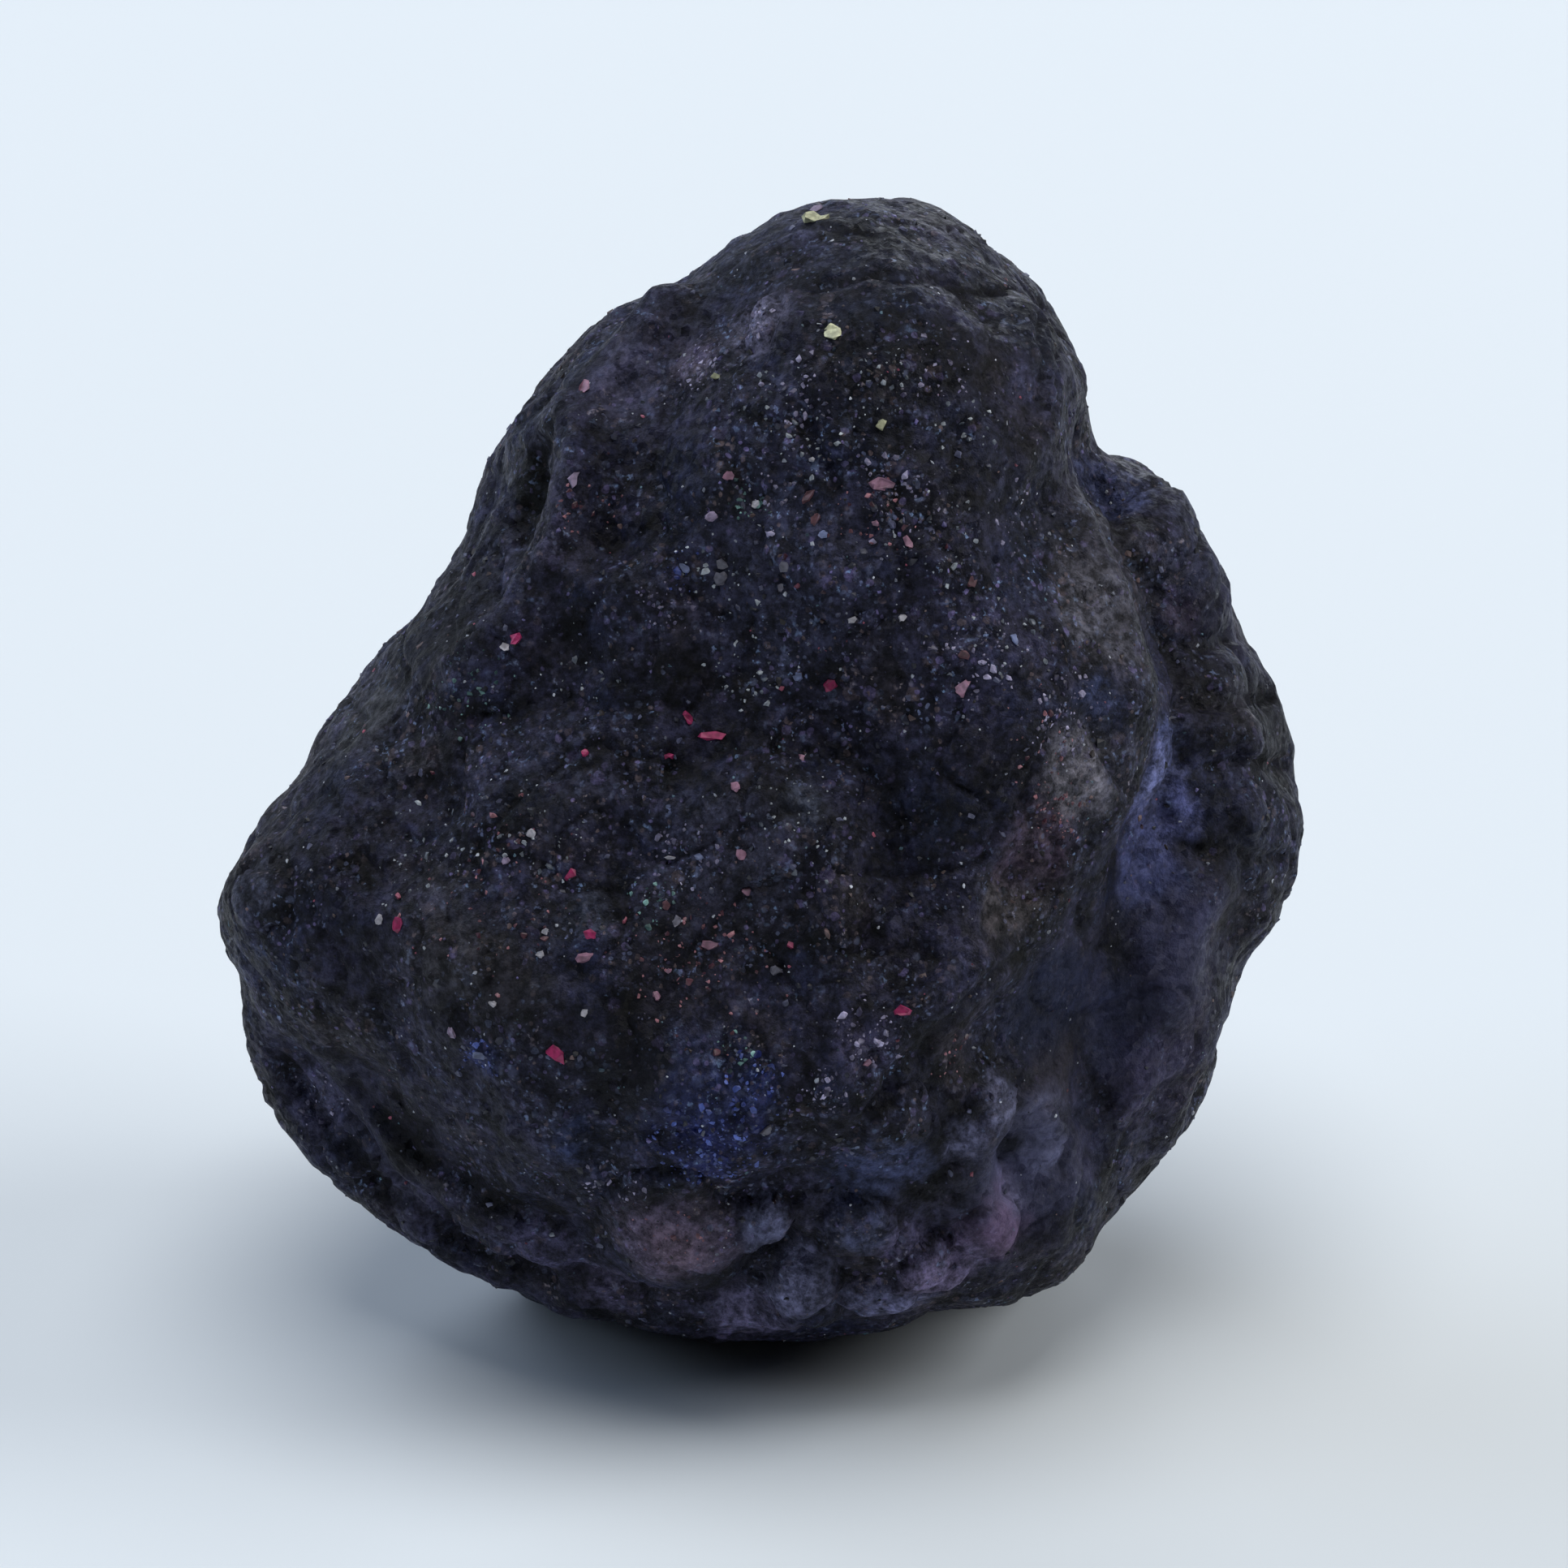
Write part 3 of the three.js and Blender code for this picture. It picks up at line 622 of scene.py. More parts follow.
def new_group(name, inputs, outputs):
    """An empty node group with named sockets, and its input and output nodes."""
    group = bpy.data.node_groups.new(name, "ShaderNodeTree")
    for socket, kind in inputs.items():
        group.interface.new_socket(socket, in_out="INPUT", socket_type="NodeSocket" + kind)
    for socket, kind in outputs.items():
        group.interface.new_socket(socket, in_out="OUTPUT", socket_type="NodeSocket" + kind)
    return group, group.nodes.new("NodeGroupInput").outputs, group.nodes.new("NodeGroupOutput").inputs


def use(tree, group, **inputs):
    made = tree.nodes.new("ShaderNodeGroup")
    made.node_tree = group
    for name, value in inputs.items():
        feed(tree, made.inputs[name.replace("_", " ")], value)
    return made.outputs


def scaled_down(tree, places, size):
    """Places counted in cells of the given size."""
    sizes = add(tree, "CombineXYZ", None, X=size, Y=size, Z=size).outputs[0]
    return add(tree, "VectorMath", {"operation": "DIVIDE"}, _0=places, _1=sizes).outputs[0]


def flecks_group():
    """Ragged flecks, where fine noise rises above a threshold, and a slower draw for their tone."""
    inputs = {"Places": "Vector", "Per mm": "Float", "Threshold": "Float"}
    tree, given, out = new_group("Flecks", inputs, {"Mask": "Float", "Draw": "Float"})
    fine = add(tree, "TexNoise", None, Vector=given["Places"], Scale=given["Per mm"], Detail=2.0)
    over = calculate(tree, "SUBTRACT", fine.outputs["Fac"], given["Threshold"])
    feed(tree, out["Mask"], ramp(tree, over, 0.0, 0.1))
    slow = calculate(tree, "MULTIPLY", given["Per mm"], 0.3)
    draw = add(tree, "TexNoise", None, Vector=given["Places"], Scale=slow, Detail=1.0)
    feed(tree, out["Draw"], ramp(tree, draw.outputs["Fac"], 0.35, 0.65))
    return tree


def flakes_group():
    """Rounded flakes in cells of the given size, each with a tone and a hue of its own."""
    inputs = {"Places": "Vector", "Size": "Float"}
    outputs = {"Tone": "Float", "Hue": "Float"}
    tree, given, out = new_group("Flakes", inputs, outputs)
    counted = scaled_down(tree, given["Places"], given["Size"])
    cells = add(tree, "TexVoronoi", None, Vector=counted, Scale=1.0)
    drawn = add(tree, "SeparateColor", None, Color=cells.outputs["Color"]).outputs
    inside = ramp(tree, cells.outputs["Distance"], 0.3, 0.55, 1, 0)
    feed(tree, out["Tone"], calculate(tree, "MULTIPLY", drawn["Red"], inside))
    feed(tree, out["Hue"], drawn["Green"])
    return tree


def crystal_faces_group():
    """Turns the surface a little in each small cell, as crystal faces do."""
    inputs = {"Places": "Vector", "Size": "Float", "Turn": "Float", "Normal": "Vector"}
    tree, given, out = new_group("Crystal faces", inputs, {"Normal": "Vector"})
    counted = scaled_down(tree, given["Places"], given["Size"])
    cells = add(tree, "TexVoronoi", None, Vector=counted, Scale=1.0)
    middle = (0.5, 0.5, 0.5)
    lean = add(tree, "VectorMath", {"operation": "SUBTRACT"}, _0=cells.outputs["Color"], _1=middle)
    turned = add(tree, "VectorMath", {"operation": "SCALE"}, _0=lean.outputs[0], Scale=given["Turn"])
    total = add(tree, "VectorMath", {"operation": "ADD"}, _0=turned.outputs[0], _1=given["Normal"])
    unit = add(tree, "VectorMath", {"operation": "NORMALIZE"}, _0=total.outputs[0])
    feed(tree, out["Normal"], unit.outputs[0])
    return tree


# ---------------------------------------------------------------- the stone's finish

BLACKEST = tint(12, 12, 20)
SMOKE = tint(54, 53, 70)
COOL = tint(34, 42, 68)
WARM = tint(56, 50, 50)
FLAKE_SAND = tint(112, 96, 92)
FLAKE_GREY = tint(96, 102, 122)
FLAKE_LILAC = tint(124, 112, 152)
FLECK_LILAC = tint(166, 162, 206)
FLECK_TEAL = tint(134, 158, 188)
FLECK_SAND = tint(170, 152, 146)

FLAKES = [
    # size of a cell in millimetres, the tone above which it shows, strength
    (0.62, 0.5, 0.4),
    (0.34, 0.5, 0.7),
    (0.19, 0.5, 1.0),
]
FLECKS = [
    # how many to a millimetre, threshold, dimmest and brightest
    (3.0, 0.6, 0.06, 0.35),
    (5.4, 0.61, 0.1, 1.0),
]
TINGE = (1.0, 1.02, 1.18)
FACE_SIZE = 0.24
FACE_TURN = 0.8
BUMP_HEIGHT = 0.00009  # in metres
STONE_SHINE = 0.16
HOLLOW_SHADE_AND_RISE_LIGHT = (-0.28, 0.06, 0.5, 1.15)  # relief in millimetres, low and high, and the lightness there: painted shade in hollows, painted light on rises
POOLED = (0.36, 0.64, -0.7, 0.35)  # noise, low and high, and what it adds to the lightness there
GRITTY = (0.32, 0.62, -0.6, 0.2)  # the same for the fine grit


def corundum(groups):
    """The crusted corundum: blackish, clouded, tinted in patches, some of which are painted shade and one a
    painted highlight, with painted shade in its hollows and painted light on its rises, and full of small
    specks.
    """
    material = bpy.data.materials.new("corundum crust")
    material.use_nodes = True
    tree = material.node_tree
    shader = tree.nodes["Principled BSDF"]
    spots = in_millimetres(tree)
    strayed = wavered(tree, spots, 0.6, 1.2)
    ragged = wavered(tree, spots, 2.6, 0.2)

    cloud = add(tree, "TexNoise", None, Vector=spots, Scale=0.45, Detail=8.0, Roughness=0.72)
    hues = add(tree, "TexNoise", None, Vector=strayed, Scale=0.33, Detail=4.0)
    colour = blend(tree, ramp(tree, cloud.outputs["Fac"], 0.34, 0.66), BLACKEST, SMOKE)
    colour = blend(tree, ramp(tree, hues.outputs["Fac"], 0.52, 0.7, 0, 0.4), colour, COOL)
    colour = blend(tree, ramp(tree, hues.outputs["Fac"], 0.3, 0.46, 0.5, 0), colour, WARM)
    bare = add(tree, "Attribute", {"attribute_name": "bare"}).outputs["Fac"]
    colour_patch = add(tree, "Attribute", {"attribute_name": "colour_patch"}).outputs["Color"]
    patched = add(tree, "VectorMath", {"operation": "MULTIPLY_ADD"}, _0=colour, _1=bare, _2=colour_patch)
    relief = add(tree, "Attribute", {"attribute_name": "relief"}).outputs["Fac"]
    # Painted shade and light: darker where the crust sinks into creases, pits, cracks and the grooves round
    # the knobs, lighter where it rises.
    hollow_shade_and_rise_light = ramp(tree, relief, *HOLLOW_SHADE_AND_RISE_LIGHT)
    colour = add(tree, "VectorMath", {"operation": "SCALE"}, _0=patched.outputs[0], Scale=hollow_shade_and_rise_light).outputs[0]

    pools = add(tree, "TexNoise", None, Vector=spots, Scale=1.5, Detail=7.0, Roughness=0.72)
    crowd = add(tree, "Attribute", {"attribute_name": "crowd"}).outputs["Fac"]
    roughened = ramp(tree, crowd, 0.1, 0.6, 0.4, 1.05)
    pooled = ramp(tree, pools.outputs["Fac"], *POOLED)
    pooled = add(tree, "Math", {"operation": "MULTIPLY_ADD"}, _0=pooled, _1=roughened, _2=1.0).outputs[0]
    colour = add(tree, "VectorMath", {"operation": "SCALE"}, _0=colour, Scale=pooled).outputs[0]

    crowding = add(tree, "TexNoise", None, Vector=strayed, Scale=0.5, Detail=5.0, Roughness=0.7)
    crowded = calculate(tree, "MULTIPLY", ramp(tree, crowding.outputs["Fac"], 0.42, 0.62), crowd)
    for size, least, strength in FLAKES:
        flakes = use(tree, groups["flakes"], Places=ragged, Size=size)
        shown = calculate(tree, "MULTIPLY", ramp(tree, flakes["Tone"], least, 1, 0, strength), crowded)
        flake_colour = blend(tree, ramp(tree, flakes["Hue"], 0.3, 0.4), FLAKE_SAND, FLAKE_GREY)
        flake_colour = blend(tree, ramp(tree, flakes["Hue"], 0.7, 0.8), flake_colour, FLAKE_LILAC)
        colour = blend(tree, shown, colour, flake_colour)
    sandy = ramp(tree, hues.outputs["Fac"], 0.36, 0.5, 1, 0)
    for per_mm, threshold, dimmest, brightest in FLECKS:
        flecks = use(tree, groups["flecks"], Places=spots, Per_mm=per_mm, Threshold=threshold)
        fleck_colour = blend(tree, flecks["Draw"], FLECK_LILAC, FLECK_TEAL)
        fleck_colour = blend(tree, sandy, fleck_colour, FLECK_SAND)
        level = calculate(tree, "MULTIPLY", flecks["Mask"], crowded)
        level = calculate(tree, "MULTIPLY", level, ramp(tree, flecks["Draw"], 0, 1, dimmest, brightest))
        colour = blend(tree, level, colour, fleck_colour)

    grit = add(tree, "TexNoise", None, Vector=spots, Scale=4.0, Detail=4.0, Roughness=0.75)
    light = ramp(tree, grit.outputs["Fac"], *GRITTY)
    light = add(tree, "Math", {"operation": "MULTIPLY_ADD"}, _0=light, _1=roughened, _2=1.0).outputs[0]
    shaded = add(tree, "VectorMath", {"operation": "SCALE"}, _0=colour, Scale=light)
    tinged = add(tree, "VectorMath", {"operation": "MULTIPLY"}, _0=shaded.outputs[0], _1=TINGE)
    feed(tree, shader.inputs["Base Color"], tinged.outputs[0])
    feed(tree, shader.inputs["Roughness"], ramp(tree, grit.outputs["Fac"], 0.3, 0.7, 0.7, 0.4))

    facing = tree.nodes.new("ShaderNodeNewGeometry").outputs["Normal"]
    turned = use(
        tree, groups["faces"], Places=spots, Size=FACE_SIZE, Turn=FACE_TURN, Normal=facing
    )["Normal"]
    bump = add(tree, "Bump", None, Height=grit.outputs["Fac"], Normal=turned, Distance=BUMP_HEIGHT)
    feed(tree, shader.inputs["Normal"], bump.outputs[0])
    shader.inputs["Specular IOR Level"].default_value = STONE_SHINE
    return material


GRAIN_SHINE = 0.4
MOTTLE = (0.3, 0.7, 0.55, 1.1)  # noise, low and high, and how light a grain is there


def grain_finish(name, dark, light, roughness):
    """A finish for loose grains or chips, each of its own tone, a little clouded inside."""
    material = bpy.data.materials.new(name.replace("_", " "))
    material.use_nodes = True
    tree = material.node_tree
    shader = tree.nodes["Principled BSDF"]
    tone = add(tree, "Attribute", {"attribute_name": "tone"}).outputs["Fac"]
    cloud = add(tree, "TexNoise", None, Vector=in_millimetres(tree), Scale=6.0, Detail=4.0)
    mottle = ramp(tree, cloud.outputs["Fac"], *MOTTLE)
    colour = blend(tree, tone, dark, light)
    shaded = add(tree, "VectorMath", {"operation": "SCALE"}, _0=colour, Scale=mottle)
    feed(tree, shader.inputs["Base Color"], shaded.outputs[0])
    shader.inputs["Roughness"].default_value = roughness
    shader.inputs["Specular IOR Level"].default_value = GRAIN_SHINE
    return material


# ---------------------------------------------------------------- grains and chips

GRAINS = [
    # name, how many, smallest and largest in millimetres, dark and light colour, roughness
    ("grey_grains", 3600, (0.1, 0.42), tint(20, 20, 30), tint(96, 98, 126), 0.45),
    ("pale_glints", 1700, (0.08, 0.24), tint(64, 68, 88), tint(226, 230, 242), 0.35),
    ("teal_grains", 500, (0.08, 0.24), tint(26, 36, 50), tint(104, 138, 156), 0.45),
    ("violet_grains", 1100, (0.08, 0.3), tint(28, 26, 46), tint(120, 112, 170), 0.45),
    ("brown_grains", 800, (0.1, 0.36), tint(32, 26, 28), tint(120, 98, 98), 0.5),
    ("rose_grains", 260, (0.1, 0.32), tint(50, 26, 38), tint(196, 104, 128), 0.45),
]
# Clusters of specks, by finish: dark and light colour, then [across, up], radius in
# millimetres and how many.
CLUSTERS = {
    "blue_specks": (
        tint(26, 34, 90),
        tint(104, 124, 210),
        [((-1.7, -10.9), 2.3, 260), ((-0.3, -8.9), 1.3, 70), ((-8.9, -8.1), 1.1, 40), ((-2.6, 7), 0.9, 24)],
    ),
    "lilac_specks": (
        tint(60, 56, 80),
        tint(190, 182, 216),
        [
            ((-0.2, 14.6), 1, 110),
            ((-1.9, 13.3), 1.4, 110),
            ((1.4, 12.4), 1.8, 70),
            ((5.4, 13.4), 2, 60),
            ((4, 9.6), 2, 80),
            ((7.6, 8.6), 1.8, 50),
            ((0.2, 9.4), 1.6, 50),
            ((9.3, 2.4), 1.7, 120),
            ((3.4, -7.4), 1.5, 110),
            ((1.9, -9.2), 1.1, 60),
            ((-2.6, -2), 1.6, 70),
            ((-3, 5.8), 1.1, 40),
            ((6.6, 4.4), 1.8, 90),
            ((-4.4, -12.2), 1.8, 70),
            ((-13.4, -9.4), 1.6, 60),
        ],
    ),
    "white_specks": (
        tint(80, 86, 98),
        tint(206, 212, 220),
        [
            ((1.4, 10.8), 1.6, 34),
            ((0.6, 12.2), 1.6, 26),
            ((-0.6, 3.6), 1.6, 40),
            ((-6.8, -1.6), 2.4, 50),
            ((0.8, -0.8), 2.2, 50),
            ((5.8, 8), 2.2, 50),
            ((3.6, 12.8), 1.8, 40),
            ((6.4, 11.6), 1.6, 30),
            ((7.6, 5), 1.8, 40),
            ((-1.6, 6.6), 2, 40),
            ((-5.4, 4.4), 2, 34),
            ((-10.6, -2), 2.2, 50),
        ],
    ),
    "rosy_specks": (
        tint(70, 40, 52),
        tint(204, 140, 150),
        [
            ((-2.7, -13.8), 1.8, 40),
            ((-8.2, -3), 3.6, 80),
            ((-2, -5.6), 3, 60),
            ((8.6, 1.4), 2.2, 40),
            ((9.2, -0.6), 1.4, 50),
            ((-2.2, -4.6), 2.2, 60),
            ((5.8, -8), 1.3, 30),
            ((-5.6, 8.8), 1.2, 30),
            ((3.4, 8.6), 1.6, 40),
        ],
    ),
    "teal_specks": (
        tint(34, 60, 64),
        tint(150, 196, 190),
        [((-0.4, 9.1), 0.8, 40), ((-9.2, 3.2), 2, 50), ((-0.9, -7.9), 1, 24), ((-3.4, -3.4), 1.3, 36)],
    ),
}
CLUSTER_SIZES = (0.08, 0.34)
CLUSTER_ROUGHNESS = 0.4
GRAIN_JITTER = 0.13
GRAIN_LEAN = 0.6
GRAIN_SPIN = 6.3  # just over a full turn, in radians
GRAIN_SPREADS = ((0.7, 1.2), (0.6, 1), (0.5, 0.9))  # a grain's length, width and height
GRAIN_SMALLNESS = 3  # the higher, the fewer grains are large
GRAIN_SINK = 0.22
GRAIN_DARKNESS = 2.2  # the higher, the fewer grains are light
GATHERING_SIZE = 2.4
USUAL_GATHERING = 0.4
LEAST_GATHERING = 0.05

# Coloured chips, by finish: the colour, then [across, up], length and width in millimetres, turn
# in degrees and tone.
CHIPS = {
    "yellow_chips": (
        tint(216, 216, 178),
        [
            ((1.63, 17.75), 0.9, 0.4, -8, 0.8),
            ((2.18, 14.3), 0.62, 0.55, 60, 1),
            ((3.65, 11.43), 0.42, 0.24, 50, 0.45),
            ((-1.43, 12.88), 0.34, 0.2, -10, 0.5),
        ],
    ),
    "crimson_chips": (
        tint(184, 60, 110),
        [
            ((-1.55, 1.8), 0.9, 0.27, -2, 0.75),
            ((-2.88, 1.2), 0.36, 0.16, 0, 0.8),
            ((-5.45, 1.3), 0.25, 0.25, 0, 0.85),
            ((-6.35, -8.0), 0.72, 0.52, -55, 0.8),
            ((-11.25, -4.0), 0.5, 0.42, 80, 0.5),
            ((2.05, 3.4), 0.5, 0.34, 60, 0.4),
            ((-2.3, 2.38), 0.38, 0.28, -60, 0.55),
            ((-5.33, -4.3), 0.42, 0.3, -30, 0.8),
            ((0.87, -4.63), 0.3, 0.28, 0, 0.35),
            ((-5.95, -2.45), 0.42, 0.3, 50, 0.6),
            ((4.3, -6.65), 0.6, 0.28, 5, 0.6),
            ((-7.58, 4.83), 0.42, 0.34, 20, 1),
        ],
    ),
    "rose_chips": (
        tint(190, 142, 166),
        [
            ((-5.45, 12.55), 0.55, 0.34, 70, 0.8),
            ((-0.85, 0.25), 0.36, 0.3, 50, 1),
            ((6.1, 3.3), 0.68, 0.4, 50, 1),
            ((3.7, 9.55), 0.75, 0.42, -4, 0.55),
            ((4.5, 7.8), 0.52, 0.26, -50, 0.45),
            ((3.5, 8.4), 0.3, 0.22, -20, 0.5),
            ((-3.3, -6.18), 0.26, 0.24, 0, 0.5),
            ((-2.9, -5.4), 0.24, 0.2, 0, 0.45),
            ((-0.68, -1.8), 0.36, 0.28, 70, 0.7),
            ((1.2, 1.15), 0.28, 0.28, 0, 0.75),
            ((-1.65, -4.6), 0.52, 0.26, 0, 0.25),
            ((3.2, -8.25), 0.35, 0.24, 30, 0.4),
            ((-1.05, 9.8), 0.32, 0.26, 30, 0.5),
            ((-0.48, -2.9), 0.3, 0.28, 0, 0.4),
            ((-5.5, -5.0), 0.46, 0.26, 20, 0.35),
        ],
    ),
    "rust_chips": (
        tint(118, 82, 90),
        [
            ((1.4, 9.2), 0.5, 0.3, 40, 0.5),
            ((1.6, 8.5), 0.4, 0.24, 80, 0.7),
            ((6.4, 6.6), 0.5, 0.36, -60, 0.5),
            ((-2.98, -3.4), 0.32, 0.24, 70, 0.7),
            ((6.2, 4.3), 0.4, 0.3, 20, 0.6),
        ],
    ),
    "lilac_chips": (
        tint(168, 150, 178),
        [
            ((-5.83, 9.75), 0.5, 0.38, 70, 0.8),
            ((-1.6, 8.6), 0.42, 0.3, 30, 0.65),
            ((-9.6, -7.3), 0.36, 0.34, 0, 0.85),
            ((-7.9, -2.0), 0.26, 0.24, 0, 0.8),
            ((1.7, 18.05), 0.4, 0.3, 0, 0.7),
        ],
    ),
    "white_chips": (
        tint(210, 206, 216),
        [
            ((-7.95, 4.55), 0.3, 0.28, 0, 1),
            ((-11.8, -3.83), 0.35, 0.26, 80, 0.6),
            ((-7.13, -1.18), 0.28, 0.26, 0, 0.8),
            ((-5.5, -6.7), 0.25, 0.24, 0, 0.6),
            ((-8.3, -6.4), 0.27, 0.2, 0, 0.55),
            ((-6.85, -4.9), 0.28, 0.22, -20, 0.6),
            ((-6.7, -4.2), 0.25, 0.2, 0, 0.7),
            ((-0.25, 8.95), 0.32, 0.2, -20, 1),
            ((1.5, 10.35), 0.2, 0.18, 0, 0.65),
            ((2.73, 5.4), 0.25, 0.22, 0, 0.7),
            ((4.3, 5.45), 0.25, 0.22, 0, 0.55),
            ((-2.85, -1.9), 0.36, 0.1, 0, 0.6),
        ],
    ),
    "pearl_chips": (
        tint(122, 120, 134),
        [
            ((-2.65, -3.9), 0.4, 0.32, 70, 0.9),
            ((0.65, 7.05), 0.34, 0.28, 0, 0.7),
            ((0.55, 6.4), 0.3, 0.2, 70, 0.8),
            ((-1.25, 6.7), 0.5, 0.34, 30, 0.6),
            ((0.4, -5.4), 0.36, 0.26, 0, 0.5),
            ((0.13, -10.3), 0.32, 0.3, 0, 0.5),
            ((-1.25, 7.1), 0.44, 0.4, 0, 0.6),
        ],
    ),
    "blue_chips": (
        tint(128, 138, 178),
        [
            ((1.1, 3.65), 0.36, 0.26, 0, 0.6),
            ((-8.75, -8.0), 0.42, 0.3, 0, 0.45),
            ((1.85, 8.05), 0.3, 0.24, 0, 0.9),
            ((-2.4, 6.98), 0.42, 0.26, -40, 0.7),
            ((7.75, 4.8), 0.4, 0.22, -70, 0.9),
            ((-1.95, -1.9), 0.26, 0.22, 0, 0.6),
        ],
    ),
}
# More chips, laid by chance on the sides turned away from the viewer: how many, then how long,
# how wide beside that, how light, and how far the sides face away.
CHANCE_CHIPS = {
    "yellow_chips": 3,
    "crimson_chips": 9,
    "rose_chips": 12,
    "rust_chips": 6,
    "lilac_chips": 6,
    "white_chips": 16,
    "pearl_chips": 10,
    "blue_chips": 6,
}
CHANCE_LENGTHS = (0.22, 0.58)
CHANCE_WIDTHS = (0.5, 0.9)
CHANCE_TONES = (0.3, 1)
AWAY = -0.45
CHIP_SIDES = (5, 6, 7)
CHIP_SCALE = 0.96
CHIP_THICKNESS = 0.16
CHIP_FOOT_RADIUS = 0.54
CHIP_TOP_RADIUS = 0.44
CHIP_RAGGEDNESS = 0.42
CHIP_RAG_RATE = 1.2
CHIP_RAG_RANGE = 90  # sets each chip's raggedness apart from the others'
CHIP_SHADE = 0.3  # how light a chip's dark tone is beside its colour
CHIP_ROUGHNESS = 0.4
CHIP_LIFT = 0.02


def finished_mesh(name, shape, finish):
    """The shape as a piece of the stone, with its faces turned outwards."""
    bmesh.ops.recalc_face_normals(shape, faces=shape.faces)
    mesh = bpy.data.meshes.new(name)
    shape.to_mesh(mesh)
    shape.free()
    mesh.materials.append(finish)
    piece = link(bpy.data.objects.new(name, mesh))
    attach(piece, "root")
    return piece


def crowding_of(stone, zones):
    """How many grains gather at each face of the stone, added up from the first face on."""
    total = 0
    sums = []
    for face in stone.data.polygons:
        gathering = noise.noise(face.center / MM / GATHERING_SIZE) + USUAL_GATHERING
        crowd = max(gathering, LEAST_GATHERING) * graininess(face.center, zones)
        total += face.area * crowd
        sums.append(total)
    return sums


def single_grain():
    """One small nugget, which is then pushed out of shape for each grain."""
    shape = bmesh.new()
    shape.verts.layers.float.new("tone")
    bmesh.ops.create_icosphere(shape, subdivisions=1, radius=0.5)
    mesh = bpy.data.meshes.new("single grain")
    shape.to_mesh(mesh)
    shape.free()
    return mesh


def tree_of_faces(stone):
    faces = stone.data.polygons
    tree = KDTree(len(faces))
    for face in faces:
        tree.insert(face.center, face.index)
    tree.balance()
    return tree


def gathered(stone, faces_near, surface, places, draw):
    """Faces of the stone drawn close round each of the places."""
    faces = stone.data.polygons
    drawn = []
    for (across, up), radius, count in places:
        centre = look_at_stone(surface, across, up)[0]
        near = faces_near.find_range(centre, radius * MM)
        shares = [fade(gap / MM, radius) for _, _, gap in near]
        drawn += [faces[index] for _, index, _ in draw.choices(near, weights=shares, k=count)]
    return drawn


def strew(name, faces, sizes, finish, draw):
    """Small angular grains, half sunk in the crust, one at each of the faces."""
    grain = single_grain()
    corners = [vertex.co.copy() for vertex in grain.vertices]
    shape = bmesh.new()
    for face in faces:
        size = sizes[0] + (sizes[1] - sizes[0]) * draw.random() ** GRAIN_SMALLNESS
        leans = [draw.uniform(-GRAIN_LEAN, GRAIN_LEAN) for _ in range(2)]
        lean = Euler(leans + [draw.uniform(0, GRAIN_SPIN)])
        turn = face.normal.to_track_quat("Z", "Y") @ lean.to_quaternion()
        spread = Vector([draw.uniform(*limits) for limits in GRAIN_SPREADS]) * size
        spot = face.center - face.normal * size * GRAIN_SINK * MM
        matrix = Matrix.LocRotScale(spot, turn, spread * MM)
        own_tone = draw.random() ** GRAIN_DARKNESS
        for vertex, corner, tone in zip(grain.vertices, corners, grain.attributes["tone"].data):
            step = Vector([draw.uniform(-GRAIN_JITTER, GRAIN_JITTER) for _ in range(3)])
            vertex.co = matrix @ (corner + step)
            vertex.co.z = max(vertex.co.z, 0)
            tone.value = own_tone
        shape.from_mesh(grain)
    bpy.data.meshes.remove(grain)
    return finished_mesh(name, shape, finish)


def chip_frame(place, facing, out, along, length, width):
    """A chip's frame: a little off the crust, facing out, its long side along a line."""
    along = (along - out * along.dot(out)).normalized()
    axes = Matrix((along, out.cross(along), out)).transposed()
    size = Vector((length, width, CHIP_THICKNESS)) * MM
    return Matrix.LocRotScale(place + facing * CHIP_LIFT * MM, axes, size)


def placed_chips(surface, places):
    """The frames, widths and tones of the chips of the broad face, turned there as asked."""
    frames = []
    for (across, up), length, width, turn, own_tone in places:
        place, facing = look_at_stone(surface, across, up)
        along = ACROSS * math.cos(math.radians(turn)) + UP * math.sin(math.radians(turn))
        out = (facing + OUT).normalized()
        length, width = length * CHIP_SCALE, width * CHIP_SCALE
        frames.append((chip_frame(place, facing, out, along, length, width), width, own_tone))
    return frames


def chance_chips(faces, count, draw):
    """The frames, widths and tones of a few more chips, at faces picked by chance."""
    frames = []
    for face in draw.sample(faces, count):
        length = draw.uniform(*CHANCE_LENGTHS)
        width = length * draw.uniform(*CHANCE_WIDTHS)
        out = face.normal
        matrix = chip_frame(face.center, out, out, out.orthogonal(), length, width)
        frames.append((matrix, width, draw.uniform(*CHANCE_TONES)))
    return frames


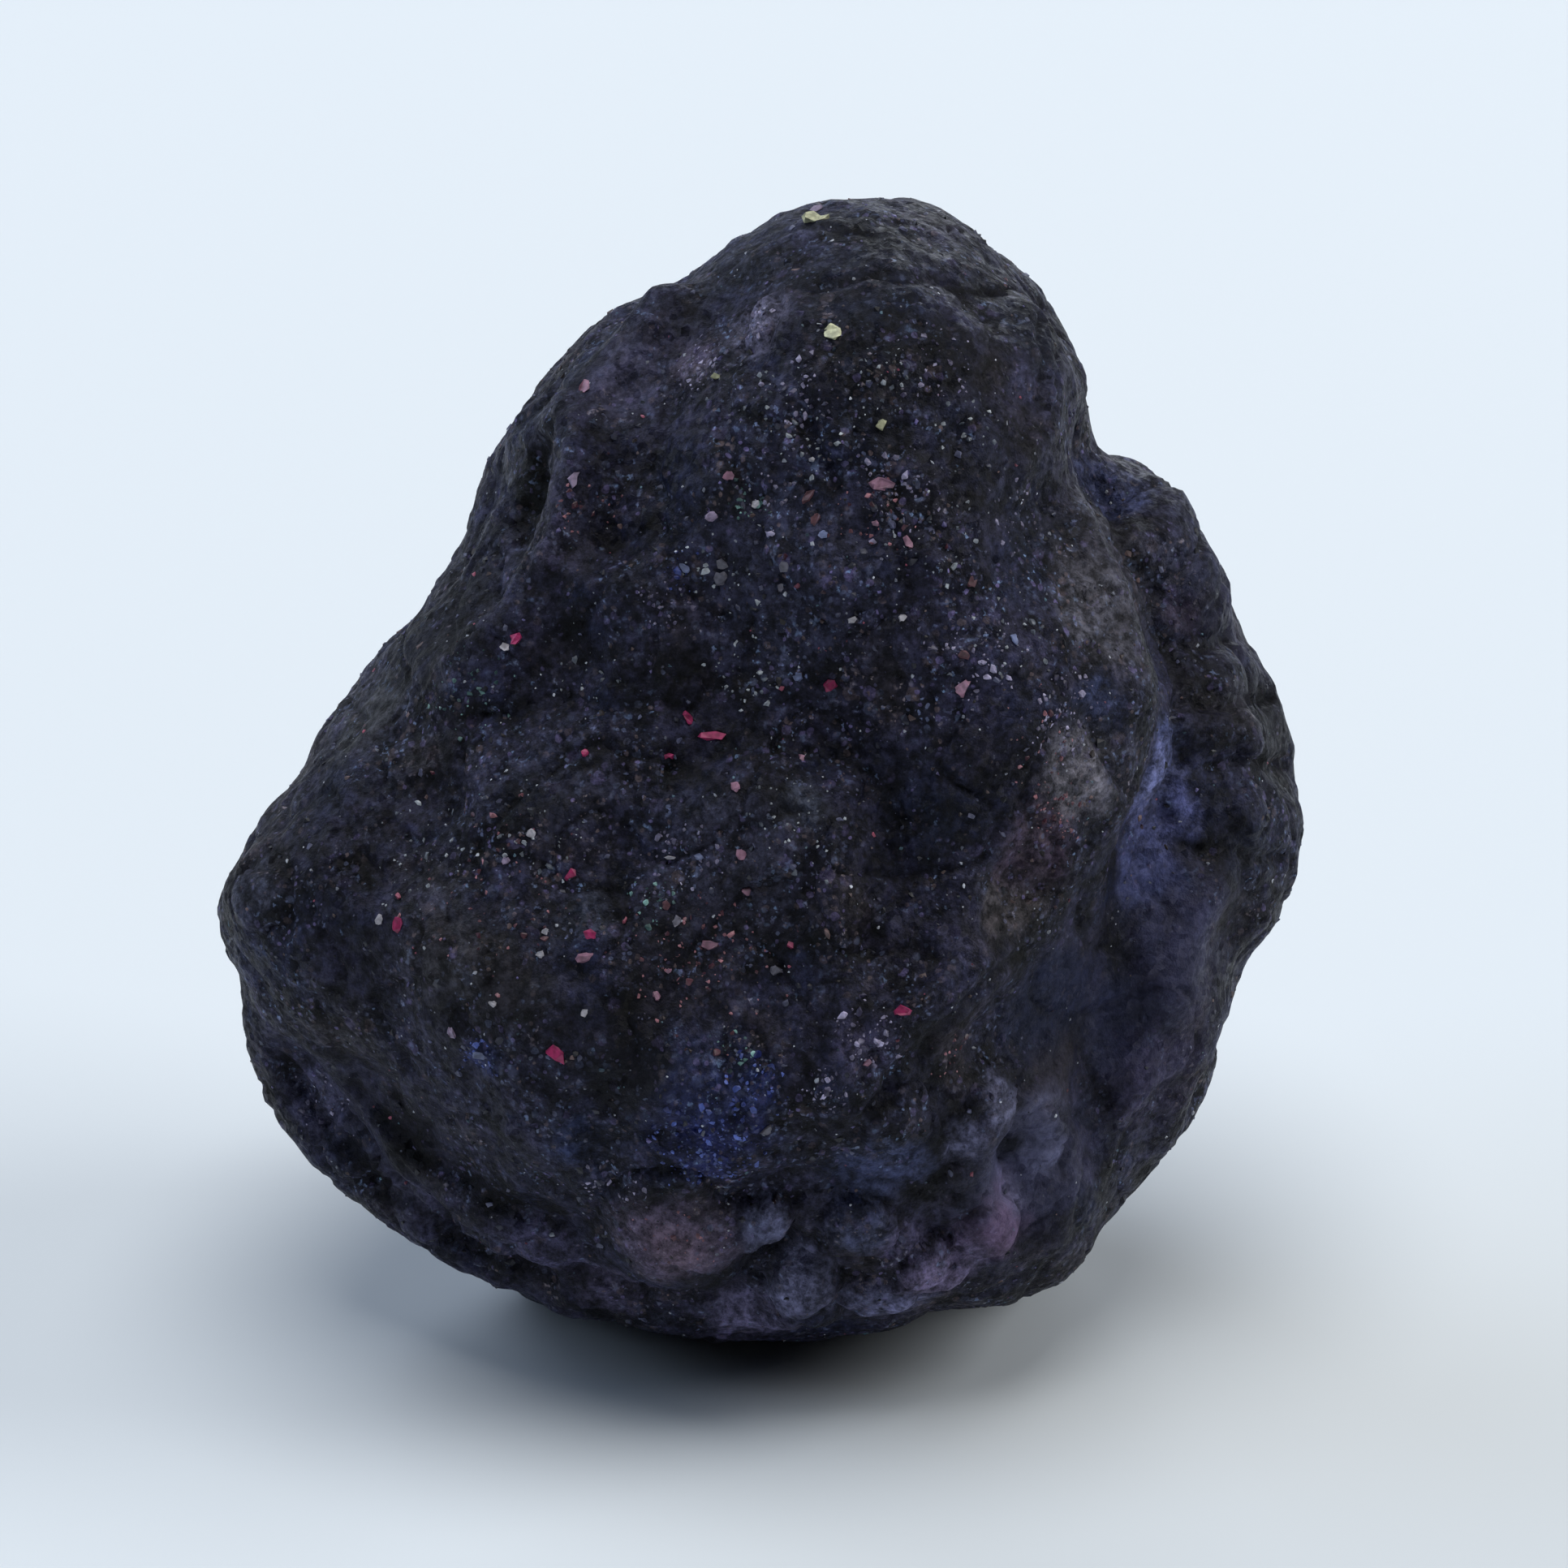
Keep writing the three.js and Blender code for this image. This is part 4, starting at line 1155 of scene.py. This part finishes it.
def lay_chips(name, colour, frames, draw):
    """The coloured chips of one finish, as thin ragged flakes."""
    shape = bmesh.new()
    tone = shape.verts.layers.float.new("tone")
    for matrix, width, own_tone in frames:
        chip = bmesh.ops.create_cone(
            shape,
            cap_ends=True,
            segments=draw.choice(CHIP_SIDES),
            radius1=CHIP_FOOT_RADIUS,
            radius2=CHIP_TOP_RADIUS,
            depth=1,
            matrix=matrix @ Matrix.Rotation(draw.uniform(0, math.tau), 4, "Z"),
        )["verts"]
        own_noise = Vector((draw.uniform(0, CHIP_RAG_RANGE), draw.uniform(0, CHIP_RAG_RANGE), 0))
        for vertex in chip:
            local = (vertex.co - matrix.translation) / (width * MM)
            ragged = noise.noise_vector(local * CHIP_RAG_RATE + own_noise) * CHIP_RAGGEDNESS
            vertex.co += ragged * width * MM
            vertex.co.z = max(vertex.co.z, 0)
            vertex[tone] = own_tone
    dark = tuple(part * CHIP_SHADE for part in colour[:3]) + (1,)
    return finished_mesh(name, shape, grain_finish(name, dark, colour, CHIP_ROUGHNESS))


def make_stone():
    """The whole stone: its crust, the grains in it and the coloured chips."""
    groups = {
        "flecks": flecks_group(),
        "flakes": flakes_group(),
        "faces": crystal_faces_group(),
    }
    stone = fine_stone()
    bpy.context.view_layer.update()
    surface = BVHTree.FromObject(stone, bpy.context.evaluated_depsgraph_get())
    stone.data.materials.append(corundum(groups))
    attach(stone, "root")
    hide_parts("sapphire_nodule")
    draw = Random(SEED)
    crowding = crowding_of(stone, zones_on(surface))
    for name, count, sizes, dark, light, roughness in GRAINS:
        faces = draw.choices(stone.data.polygons, cum_weights=crowding, k=count)
        strew(name, faces, sizes, grain_finish(name, dark, light, roughness), draw)
    faces_near = tree_of_faces(stone)
    for name, (dark, light, places) in CLUSTERS.items():
        faces = gathered(stone, faces_near, surface, places, draw)
        finish = grain_finish(name, dark, light, CLUSTER_ROUGHNESS)
        strew(name, faces, CLUSTER_SIZES, finish, draw)
    turned_away = [face for face in stone.data.polygons if face.normal.dot(OUT) < AWAY]
    for name, (colour, places) in CHIPS.items():
        frames = placed_chips(surface, places)
        frames += chance_chips(turned_away, CHANCE_CHIPS[name], draw)
        lay_chips(name, colour, frames, draw)


noise.seed_set(SEED)
make_camera()
make_sky()
make_lights()
make_floor()
make_stone()
